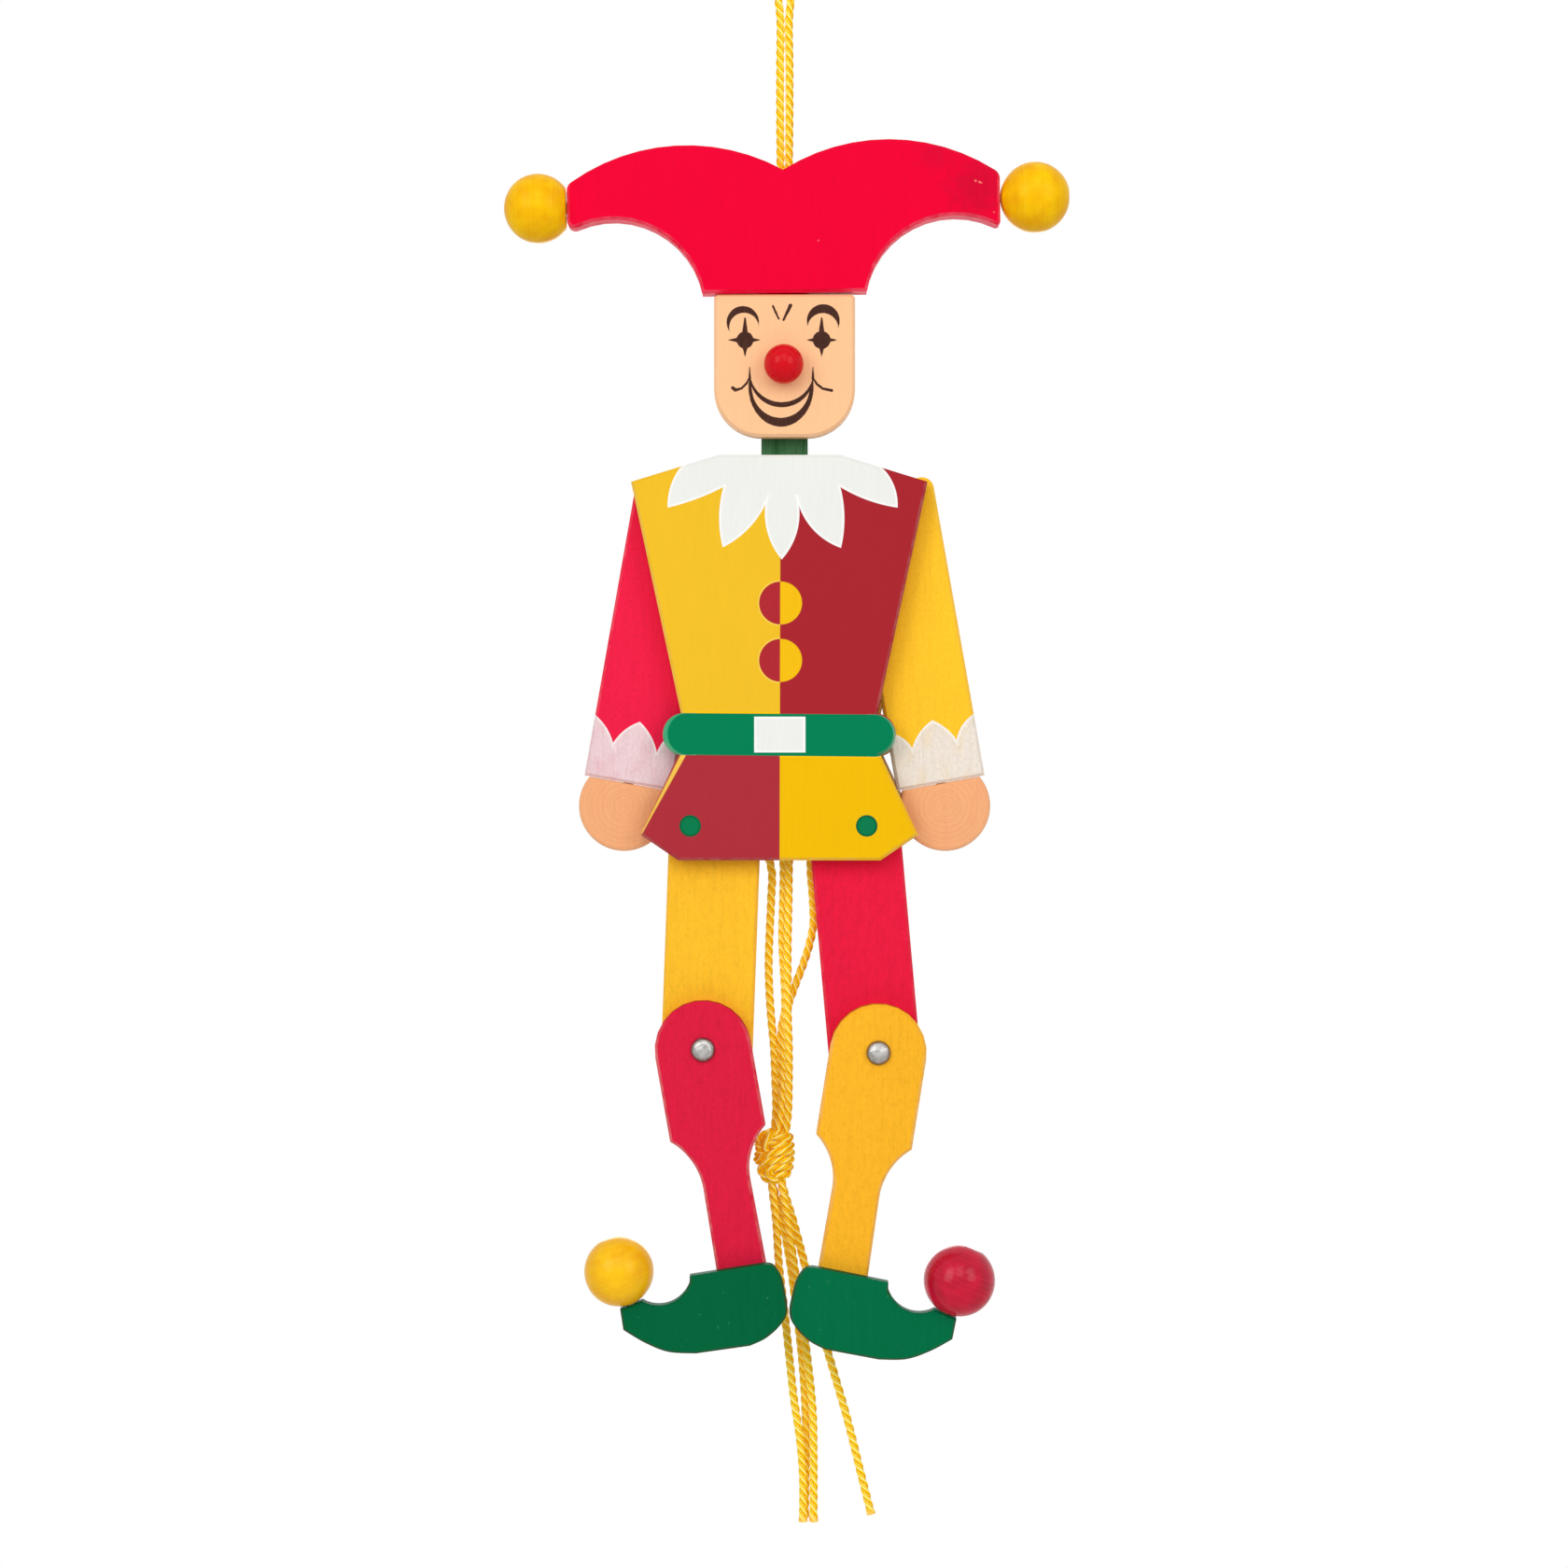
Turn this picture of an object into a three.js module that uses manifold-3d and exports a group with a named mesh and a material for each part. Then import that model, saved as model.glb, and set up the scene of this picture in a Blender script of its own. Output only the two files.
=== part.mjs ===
// Jester jumping jack, in millimetres, +Z up, with its front towards -Y.
// The origin is the inside of the hanging loop's top, where the hook or nail holds it.
// Names ending in left and right are the viewer's left and right.
import * as THREE from 'three';
import { mergeVertices } from 'three/addons/utils/BufferGeometryUtils.js';
import Module from 'manifold-3d';

const wasm = await Module();
wasm.setup();

// Clearances
const RUNNING_GAP = 0.1;      // round a pin in a bore
const GLUE_GAP = 0.3;         // between pieces that butt against each other
const RIVET_PLAY = 0.2;       // under a rivet's head and on both sides of its washer
const SLIDE_GAP = 0.3;        // between a limb and the board in front of it
const EDGE_EASE = 0.7;        // the rounded-off edge of every board

// Layers, front to back
const SPINE_THICKNESS = 10;
const FRONT_BOARD_THICKNESS = 5;
const BACK_BOARD_THICKNESS = 4;
const FACE_THICKNESS = 5;
const HAT_THICKNESS = 6;
const LIMB_THICKNESS = 5;
const LOWER_LEG_THICKNESS = 5;
const SHOE_THICKNESS = 4;
const SPINE_FRONT = -SPINE_THICKNESS / 2;
const SPINE_BACK = SPINE_THICKNESS / 2;
const LIMB_FRONT = SPINE_FRONT + SLIDE_GAP;
const LIMB_BACK = LIMB_FRONT + LIMB_THICKNESS;
const LOWER_LEG_BACK = LIMB_FRONT - SLIDE_GAP;
const LOWER_LEG_FRONT = LOWER_LEG_BACK - LOWER_LEG_THICKNESS;

// Heights down from the hanging loop
const HAT_NOTCH_Z = -60.6;
const BRIM_Z = -90.8;
const CHIN_Z = -126.2;
const TORSO_TOP_Z = -130.6;

// Hat
const HAT_HALF_LENGTH = 53.25;
const HAT_CROWN_RADIUS = { left: 49.3, right: 48.8 };
const HAT_CROWN_CENTRE_X = { left: 24.1, right: 25.5 };
const HAT_END_DROP = 14.8;
const HAT_HOLLOW_RADIUS = 22.2;
const HORN_TOP_CORNER = 2.6;
const HORN_BOTTOM_CORNER = { left: 1.8, right: 0.9 };
const BRIM_HALF_WIDTH = 20.2;
const HAT_TILT = 0.7;
const HAT_BEAD_RADIUS = { left: 8.45, right: 8.6 };
// From a bead's middle to the flat at the horn and to its outer end
const HAT_BEAD_INNER = { left: 6.9, right: 8.45 };
const HAT_BEAD_OUTER = { left: 8.45, right: 8.3 };
const HAT_BEAD_DROP = { left: 8.4, right: 7.1 };

// Face and nose
const FACE_HALF_WIDTH = 17.35;
const FACE_TOP_CORNER = 0.8;
const CHIN_CORNER = 11.7;
const NOSE_RADIUS = 4.7;
const NOSE_OVERHANG = 3.2;
const NOSE_DROP = 17.5;

// Neck spine, glued behind hat and face and between the torso boards
const SPINE_WIDTH = 11.5;
const SPINE_TOP_BELOW_NOTCH = 7.4;
const SPINE_IN_TORSO = 20;

// Torso boards
const TORSO_TOP_HALF_WIDTH = 15;
const SHOULDER_HALF_WIDTH = 36.5;
const SHOULDER_DROP = 6.6;
const BELT_HALF_LENGTH = 28.7;
const BELT_RADIUS = 5.28;
const BELT_DROP = 68.8;
const WAIST_HALF_WIDTH = 24.2;
const SKIRT_WAIST_HALF_WIDTH = 24.9;
const SKIRT_CORNER_HALF_WIDTH = 34.15;
const SKIRT_CORNER_DROP = 93.5;
const SKIRT_BOTTOM_HALF_WIDTH = 24.9;
const SKIRT_BOTTOM_DROP = 99.8;
const FRONT_BOARD_SHIFT = -1.3;

// Pivot dowels through the limbs
const DOWEL_RADIUS = 2;
const DOWEL_IN_FRONT_BOARD = 3;
const SHOULDER_PIVOT_INSET = 8.4;
const SHOULDER_X = SHOULDER_HALF_WIDTH - SHOULDER_PIVOT_INSET;
const SHOULDER_PIVOT_DROP = 20.1;
const HIP_X = 17.2;
const HIP_PIVOT_DROP = 90.6;

// Arms and hands
const ARM_HALF_WIDTH = 11;
const ARM_ABOVE_PIVOT = 14;
const ARM_BELOW_PIVOT = 61.6;
const LIMB_CORNER = 3;
const HAND_RADIUS = 11.2;
const HAND_CHORD = 5.6;
const HAND_EDGE = 1;
const HAND_THIGH_GAP = 0.43;

// Thighs
const THIGH_HALF_WIDTH = 11.35;
const THIGH_LENGTH = { left: 55.8, right: 56.8 };
const THIGH_LEAN = { left: 2.1, right: 5.1 };
const KNEE_OUT = 0.85;        // how far outside the thigh's centreline its rivet is drilled

// Levers: where each string is fixed, inwards and up from the limb's pivot. A pull of 10 mm
// turns a thigh by 70 degrees and an arm by 90.
const ARM_LEVER_IN = 4.95;
const ARM_LEVER_UP = 4.95;
const THIGH_LEVER_IN = 8;
const THIGH_LEVER_UP = 3.5;

// Lower legs and shoes
const CALF_HALF_WIDTH = 11.9;
const CALF_DROP = { left: 21, right: 22.3 };
const SHIN_HALF_WIDTH = 5.85;
const SHIN_FILLET = 16.5;
const SHIN_FILLET_BELOW_CALF = 12.75;
const SHIN_END_HALF_WIDTH = 6.3;
const SHIN_DROP = 66;
const LOWER_LEG_LEAN = { left: -10, right: -9.1 };
// How each shoe was glued on: turned toe downwards in degrees, and moved outwards and up
const SHOE_TURN = { left: 0, right: 3.4 };
const SHOE_SHIFT = { left: [0, 0.8], right: [-1.95, 0.45] };
const SHOE_CENTRE_DROP = 62;
// Shoe outline, outwards and up from the knee
const SHOE_TOP = [[12.6, -54.4], [-6.2, -54.8]];
const SHOE_HEEL = [
  [-8, -55.7], [-9.36, -58.7], [-9.6, -62.2], [-9.36, -67.2], [-6.9, -70.3], [-3, -72.7], [1.1, -73.8],
];
const SHOE_SOLE_END = [14.4, -73.35];
const SHOE_TOE = [[21, -71.8], [26.4, -68.5], [30.9, -64.6]];
const TOE_END_LOW = [30.8, -59.5];
const TOE_END_HIGH = [25.1, -58.4];
const TOE_NOTCH_CENTRE = [20, -52.3];
const TOE_NOTCH_RADIUS = 8;
const TOE_NOTCH_END = [13.1, -56];
const TOE_BEAD_RADIUS = { left: 8.5, right: 8.75 };
const TOE_BEAD_HALF_LENGTH = { left: 8.3, right: 8.4 };

// Knee rivets
const RIVET_HEAD_RADIUS = 3;
const RIVET_HEAD_HEIGHT = 1.7;
const RIVET_SHANK_RADIUS = 1.5;
const WASHER_RADIUS = 3.2;
const WASHER_THICKNESS = 0.6;
const PEEN_RADIUS = 2.4;
const PEEN_HEIGHT = 0.8;

// Bead and hand pins
const PIN_RADIUS = 1.2;
const PIN_HALF_LENGTH = 5;

// Cords
const CORD_RADIUS = 1;
const CORD_SIDES = 8;
const CORD_STEP = 5.5;
const STRING_HOLE_RADIUS = 1.25;
const STRING_KNOT_RADIUS = 2;
const STRING_START_GAP = 2;    // below a lever's knot, clear of its small sideways swing
const STRING_PLANE_Y = 2.8;
const CORD_SOCKET_RADIUS = 2.5;
const CORD_SOCKET_DEPTH = 12;
const KNOT_WRAPS = 4.5;
const KNOT_PITCH = 2.45;
const KNOT_WRAP_RADIUS = 4.15;
const KNOT_BULGE = 0.35;
const KNOT_CENTRE = [-1.975, 2.8, -304.4];

const RED = { color: 0xe4123a, roughness: 0.45, metalness: 0 };
const DARK_RED = { color: 0xa9262f, roughness: 0.45, metalness: 0 };
const YELLOW = { color: 0xfcbc25, roughness: 0.45, metalness: 0 };
const GREEN = { color: 0x00703f, roughness: 0.45, metalness: 0 };
const SKIN = { color: 0xfabb86, roughness: 0.5, metalness: 0 };
const WOOD = { color: 0xd9b382, roughness: 0.7, metalness: 0 };
const STEEL = { color: 0xb4b4b2, roughness: 0.3, metalness: 1 };
const CORD = { color: 0xf2a90a, roughness: 0.8, metalness: 0 };

const part = new THREE.Group();

function shared(geometry) {
  const copy = geometry.clone();
  copy.deleteAttribute('normal');
  copy.deleteAttribute('uv');
  return mergeVertices(copy, 1e-4);
}

function signedVolume(geometry) {
  const p = geometry.attributes.position;
  const index = geometry.index;
  const [a, b, c] = [new THREE.Vector3(), new THREE.Vector3(), new THREE.Vector3()];
  let volume = 0;
  for (let i = 0; i < index.count; i += 3) {
    a.fromBufferAttribute(p, index.getX(i));
    b.fromBufferAttribute(p, index.getX(i + 1));
    c.fromBufferAttribute(p, index.getX(i + 2));
    volume += a.dot(b.cross(c)) / 6;
  }
  return volume;
}

function facesOut(geometry) {
  const g = shared(geometry);
  if (signedVolume(g) < 0) {
    const index = g.index.array;
    for (let i = 0; i < index.length; i += 3) {
      const first = index[i];
      index[i] = index[i + 2];
      index[i + 2] = first;
    }
  }
  return g;
}

function toSolid(geometry) {
  const g = facesOut(geometry);
  const vertProperties = new Float32Array(g.attributes.position.array);
  const triVerts = new Uint32Array(g.index.array);
  return new wasm.Manifold(new wasm.Mesh({ numProp: 3, vertProperties, triVerts }));
}

function fromSolid(solid) {
  const mesh = solid.getMesh();
  const g = new THREE.BufferGeometry();
  g.setAttribute('position', new THREE.BufferAttribute(new Float32Array(mesh.vertProperties), 3));
  g.setIndex(new THREE.BufferAttribute(new Uint32Array(mesh.triVerts), 1));
  return g;
}

function cut(geometry, ...tools) {
  return fromSolid(tools.reduce((left, tool) => left.subtract(toSolid(tool)), toSolid(geometry)));
}

// A flat board sawn to an outline in X and Z, its back at y = back, its edges eased.
function board(outline, back, thickness, ease = EDGE_EASE, curveSegments = 6) {
  const points = outline.getPoints(curveSegments);
  const corners = points.filter((p, i) => p.distanceTo(points[(i + points.length - 1) % points.length]) > 0.05);
  const g = new THREE.ExtrudeGeometry(new THREE.Shape(corners), {
    depth: thickness - 2 * ease,
    bevelThickness: ease,
    bevelSize: ease,
    bevelOffset: -ease,
    bevelSegments: 1,
  });
  g.translate(0, 0, ease);
  g.rotateX(Math.PI / 2);
  g.translate(0, back, 0);
  return g;
}

// A round rod along Y from one y to another.
function rodY(radius, x, z, from, to, sides = 32) {
  const g = new THREE.CylinderGeometry(radius, radius, to - from, sides);
  g.translate(x, (from + to) / 2, z);
  return g;
}

// A round rod through a point, along a direction, reaching as far to both sides.
function rodAlong(radius, centre, direction, halfLength, sides = 24) {
  const g = new THREE.CylinderGeometry(radius, radius, 2 * halfLength, sides);
  g.applyQuaternion(new THREE.Quaternion().setFromUnitVectors(new THREE.Vector3(0, 1, 0), direction));
  g.translate(centre.x, centre.y, centre.z);
  return g;
}

// A turned bead: a ball with a flat at each end and a blind bore in the flat at its back.
function bead(radius, backFlat, frontFlat, boreDepth, centre, direction) {
  const bore = PIN_RADIUS + RUNNING_GAP;
  const points = [
    new THREE.Vector2(0, -backFlat + boreDepth),
    new THREE.Vector2(bore, -backFlat + boreDepth),
    new THREE.Vector2(bore, -backFlat),
  ];
  const first = -Math.asin(backFlat / radius);
  const last = frontFlat < radius ? Math.asin(frontFlat / radius) : Math.PI / 2;
  const rings = 9;
  for (let i = 0; i <= rings; i++) {
    const a = first + (last - first) * i / rings;
    const r = i === rings && frontFlat >= radius ? 0 : radius * Math.cos(a);
    points.push(new THREE.Vector2(r, radius * Math.sin(a)));
  }
  if (frontFlat < radius) points.push(new THREE.Vector2(0, frontFlat));
  const g = new THREE.LatheGeometry(points, 20);
  g.applyQuaternion(new THREE.Quaternion().setFromUnitVectors(new THREE.Vector3(0, 1, 0), direction));
  g.translate(centre.x, centre.y, centre.z);
  return g;
}

function add(parent, name, geometry, finish) {
  const mesh = new THREE.Mesh(facesOut(geometry), new THREE.MeshStandardMaterial(finish));
  mesh.name = name;
  parent.add(mesh);
  return mesh;
}

const radians = THREE.MathUtils.degToRad;
const shoulderZ = TORSO_TOP_Z - SHOULDER_PIVOT_DROP;
const hipZ = TORSO_TOP_Z - HIP_PIVOT_DROP;
// An arm leans out until its hand clears the thigh's round upper end: the hand's centre lies where
// a circle round the shoulder meets a circle round the hip.
const handDrop = ARM_BELOW_PIVOT + GLUE_GAP + HAND_CHORD;
const handFromHip = THIGH_HALF_WIDTH + HAND_THIGH_GAP + HAND_RADIUS;
const shoulderToHip = Math.hypot(SHOULDER_X - HIP_X, shoulderZ - hipZ);
const armLean = THREE.MathUtils.radToDeg(
  Math.atan2(HIP_X - SHOULDER_X, shoulderZ - hipZ)
  + Math.acos((handDrop ** 2 + shoulderToHip ** 2 - handFromHip ** 2) / (2 * handDrop * shoulderToHip)));
const sides = { left: -1, right: 1 };

// Where a point given outwards and up from a pivot lies when the limb leans outwards.
function leaned(side, pivotX, pivotZ, lean, out, up) {
  const a = radians(lean);
  const x = out * Math.cos(a) - up * Math.sin(a);
  const z = out * Math.sin(a) + up * Math.cos(a);
  return { x: sides[side] * (pivotX + x), z: pivotZ + z };
}

// Torso: two boards of one outline, with the limbs swinging between them
function torsoOutline(shift) {
  const beltZ = TORSO_TOP_Z - BELT_DROP;
  const beltCentre = BELT_HALF_LENGTH - BELT_RADIUS;
  const enter = Math.acos((WAIST_HALF_WIDTH - beltCentre) / BELT_RADIUS);
  const leave = Math.acos((SKIRT_WAIST_HALF_WIDTH - beltCentre) / BELT_RADIUS);
  const s = new THREE.Shape();
  s.moveTo(shift - TORSO_TOP_HALF_WIDTH, TORSO_TOP_Z);
  s.lineTo(shift - SHOULDER_HALF_WIDTH, TORSO_TOP_Z - SHOULDER_DROP);
  s.absarc(shift - beltCentre, beltZ, BELT_RADIUS, Math.PI - enter, Math.PI + leave, false);
  s.lineTo(shift - SKIRT_CORNER_HALF_WIDTH, TORSO_TOP_Z - SKIRT_CORNER_DROP);
  s.lineTo(shift - SKIRT_BOTTOM_HALF_WIDTH, TORSO_TOP_Z - SKIRT_BOTTOM_DROP);
  s.lineTo(shift + SKIRT_BOTTOM_HALF_WIDTH, TORSO_TOP_Z - SKIRT_BOTTOM_DROP);
  s.lineTo(shift + SKIRT_CORNER_HALF_WIDTH, TORSO_TOP_Z - SKIRT_CORNER_DROP);
  s.absarc(shift + beltCentre, beltZ, BELT_RADIUS, -leave, enter, false);
  s.lineTo(shift + SHOULDER_HALF_WIDTH, TORSO_TOP_Z - SHOULDER_DROP);
  s.lineTo(shift + TORSO_TOP_HALF_WIDTH, TORSO_TOP_Z);
  return s;
}

const pivots = [
  ['shoulder', SHOULDER_X, shoulderZ],
  ['hip', HIP_X, hipZ],
];
const dowelFront = SPINE_FRONT - DOWEL_IN_FRONT_BOARD;
const dowelBack = SPINE_BACK + BACK_BOARD_THICKNESS;

function dowelBores(from, to) {
  const bores = [];
  for (const [, x, z] of pivots) {
    for (const s of [-1, 1]) bores.push(rodY(DOWEL_RADIUS + RUNNING_GAP, s * x, z, from, to));
  }
  return bores;
}

const frontBoard = board(torsoOutline(FRONT_BOARD_SHIFT), SPINE_FRONT, FRONT_BOARD_THICKNESS);
const backBoard = board(torsoOutline(0), SPINE_BACK + BACK_BOARD_THICKNESS, BACK_BOARD_THICKNESS);
const frontBores = dowelBores(dowelFront - GLUE_GAP, SPINE_FRONT + 1);
const backBores = dowelBores(SPINE_BACK - 1, dowelBack + 1);
add(part, 'torso_front_board', cut(frontBoard, ...frontBores), DARK_RED);
add(part, 'torso_back_board', cut(backBoard, ...backBores), WOOD);
for (const [joint, x, z] of pivots) {
  for (const side in sides) {
    add(part, `${joint}_dowel_${side}`, rodY(DOWEL_RADIUS, sides[side] * x, z, dowelFront, dowelBack), WOOD);
  }
}

// Neck spine: a strip that carries hat and face and holds the torso boards apart
const spineTopZ = HAT_NOTCH_Z - SPINE_TOP_BELOW_NOTCH;
const spineBottomZ = TORSO_TOP_Z - SPINE_IN_TORSO;
const spineShape = new THREE.Shape();
spineShape.moveTo(-SPINE_WIDTH / 2, spineBottomZ);
spineShape.lineTo(SPINE_WIDTH / 2, spineBottomZ);
spineShape.lineTo(SPINE_WIDTH / 2, spineTopZ);
spineShape.lineTo(-SPINE_WIDTH / 2, spineTopZ);
const socket = new THREE.CylinderGeometry(CORD_SOCKET_RADIUS, CORD_SOCKET_RADIUS, 2 * CORD_SOCKET_DEPTH, 32);
socket.rotateX(Math.PI / 2);
socket.translate(0, 0, spineTopZ);
add(part, 'neck_spine', cut(board(spineShape, SPINE_BACK, SPINE_THICKNESS, 0.4), socket), GREEN);

// Face board with its nose
const faceTopZ = BRIM_Z - GLUE_GAP;
const faceShape = new THREE.Shape();
faceShape.moveTo(-FACE_HALF_WIDTH + FACE_TOP_CORNER, faceTopZ);
faceShape.lineTo(-FACE_HALF_WIDTH, faceTopZ - FACE_TOP_CORNER);
faceShape.absarc(-FACE_HALF_WIDTH + CHIN_CORNER, CHIN_Z + CHIN_CORNER, CHIN_CORNER, Math.PI, 1.5 * Math.PI);
faceShape.absarc(FACE_HALF_WIDTH - CHIN_CORNER, CHIN_Z + CHIN_CORNER, CHIN_CORNER, 1.5 * Math.PI, 2 * Math.PI);
faceShape.lineTo(FACE_HALF_WIDTH, faceTopZ - FACE_TOP_CORNER);
faceShape.lineTo(FACE_HALF_WIDTH - FACE_TOP_CORNER, faceTopZ);
const faceFront = SPINE_FRONT - FACE_THICKNESS;
const noseZ = BRIM_Z - NOSE_DROP;
const noseCentre = new THREE.Vector3(0, faceFront - NOSE_OVERHANG, noseZ);
const nosePinDepth = 3;
const noseBore = rodY(PIN_RADIUS + RUNNING_GAP, 0, noseZ, faceFront - 1, faceFront + nosePinDepth + GLUE_GAP, 24);
add(part, 'face_board', cut(board(faceShape, SPINE_FRONT, FACE_THICKNESS), noseBore), SKIN);
const noseBead = bead(NOSE_RADIUS, NOSE_OVERHANG, NOSE_RADIUS, nosePinDepth + GLUE_GAP, noseCentre,
  new THREE.Vector3(0, -1, 0));
add(part, 'nose_bead', noseBead, RED);
add(part, 'nose_pin', rodY(PIN_RADIUS, 0, noseZ, faceFront - nosePinDepth, faceFront + nosePinDepth, 24), WOOD);

// Hat: a two-horned board, tilted a little as it was glued, with a bead pinned to each horn
const hat = new THREE.Group();
hat.position.set(0, 0, BRIM_Z);
hat.rotation.y = -radians(HAT_TILT);
part.add(hat);
const notchUp = HAT_NOTCH_Z - BRIM_Z;
const hornBottomUp = notchUp - HAT_END_DROP;
// A side's crown is an arc from the notch to the horn's upper corner, which is an arc that
// touches the crown from inside and the horn's end.
function hornTop(side) {
  const radius = HAT_CROWN_RADIUS[side];
  const centreX = HAT_CROWN_CENTRE_X[side];
  const rise = Math.sqrt(radius ** 2 - centreX ** 2);
  const centreUp = notchUp - rise;
  const x = HAT_HALF_LENGTH - HORN_TOP_CORNER;
  const up = centreUp + Math.sqrt((radius - HORN_TOP_CORNER) ** 2 - (x - centreX) ** 2);
  const angle = Math.atan2(up - centreUp, x - centreX);
  return { radius, centreX, centreUp, x, up, angle, notchAngle: Math.atan2(rise, -centreX) };
}
// The hollow under a horn is an arc of one radius from the horn's lower corner to the brim's end.
const hollowChord = new THREE.Vector2(HAT_HALF_LENGTH - BRIM_HALF_WIDTH, hornBottomUp);
const hollowRise = Math.sqrt(HAT_HOLLOW_RADIUS ** 2 - hollowChord.lengthSq() / 4);
const hollowCentreX = (HAT_HALF_LENGTH + BRIM_HALF_WIDTH) / 2 + hollowRise * hollowChord.y / hollowChord.length();
const hollowCentreUp = hornBottomUp / 2 - hollowRise * hollowChord.x / hollowChord.length();
const hollowStart = Math.atan2(-hollowCentreUp, BRIM_HALF_WIDTH - hollowCentreX);

// A horn's lower corner is an arc that touches the hollow from outside and the end.
function hornBottom(side) {
  const radius = HORN_BOTTOM_CORNER[side];
  const x = HAT_HALF_LENGTH - radius;
  const up = hollowCentreUp + Math.sqrt((HAT_HOLLOW_RADIUS + radius) ** 2 - (x - hollowCentreX) ** 2);
  return { radius, x, up, angle: Math.atan2(up - hollowCentreUp, x - hollowCentreX) };
}

const rightBottom = hornBottom('right');
const leftBottom = hornBottom('left');
const rightTop = hornTop('right');
const leftTop = hornTop('left');
const hatShape = new THREE.Shape();
hatShape.moveTo(-BRIM_HALF_WIDTH, 0);
hatShape.lineTo(BRIM_HALF_WIDTH, 0);
hatShape.absarc(hollowCentreX, hollowCentreUp, HAT_HOLLOW_RADIUS, hollowStart, rightBottom.angle, true);
hatShape.absarc(rightBottom.x, rightBottom.up, rightBottom.radius, rightBottom.angle - Math.PI, 0, false);
hatShape.absarc(rightTop.x, rightTop.up, HORN_TOP_CORNER, 0, rightTop.angle, false);
hatShape.absarc(rightTop.centreX, rightTop.centreUp, rightTop.radius, rightTop.angle, rightTop.notchAngle, false);
hatShape.absarc(-leftTop.centreX, leftTop.centreUp, leftTop.radius, Math.PI - leftTop.notchAngle,
  Math.PI - leftTop.angle, false);
hatShape.absarc(-leftTop.x, leftTop.up, HORN_TOP_CORNER, Math.PI - leftTop.angle, Math.PI, false);
hatShape.absarc(-leftBottom.x, leftBottom.up, leftBottom.radius, Math.PI, 2 * Math.PI - leftBottom.angle, false);
hatShape.absarc(-hollowCentreX, hollowCentreUp, HAT_HOLLOW_RADIUS, Math.PI - leftBottom.angle,
  Math.PI - hollowStart, true);
const hatMiddleY = SPINE_FRONT - HAT_THICKNESS / 2;
const hatPinX = HAT_HALF_LENGTH + GLUE_GAP / 2;
const hatBores = [];
for (const side in sides) {
  const outwards = new THREE.Vector3(sides[side], 0, 0);
  const pinCentre = new THREE.Vector3(sides[side] * hatPinX, hatMiddleY, notchUp - HAT_BEAD_DROP[side]);
  const inner = HAT_BEAD_INNER[side];
  const beadCentre = pinCentre.clone().addScaledVector(outwards, inner + GLUE_GAP / 2);
  hatBores.push(rodAlong(PIN_RADIUS + RUNNING_GAP, pinCentre, outwards, PIN_HALF_LENGTH + GLUE_GAP));
  add(hat, `hat_bead_${side}`, bead(HAT_BEAD_RADIUS[side], inner, HAT_BEAD_OUTER[side],
    PIN_HALF_LENGTH + GLUE_GAP, beadCentre, outwards), YELLOW);
  add(hat, `hat_pin_${side}`, rodAlong(PIN_RADIUS, pinCentre, outwards, PIN_HALF_LENGTH), WOOD);
}
add(hat, 'hat_board', cut(board(hatShape, SPINE_FRONT, HAT_THICKNESS), ...hatBores), RED);

// A limb's string: its end is glued in the lever's hole and knotted behind the limb.
function stringKnot(x, z) {
  const centre = LIMB_BACK + GLUE_GAP + STRING_KNOT_RADIUS;
  const neck = Math.asin(CORD_RADIUS / STRING_KNOT_RADIUS);
  const points = [new THREE.Vector2(0, LIMB_FRONT + 1), new THREE.Vector2(CORD_RADIUS, LIMB_FRONT + 1)];
  const rings = 6;
  for (let i = 0; i <= rings; i++) {
    const a = (Math.PI - neck) * (1 - i / rings);
    const r = i === rings ? 0 : STRING_KNOT_RADIUS * Math.sin(a);
    points.push(new THREE.Vector2(r, centre + STRING_KNOT_RADIUS * Math.cos(a)));
  }
  const g = new THREE.LatheGeometry(points, 12);
  g.translate(x, 0, z);
  return g;
}

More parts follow.
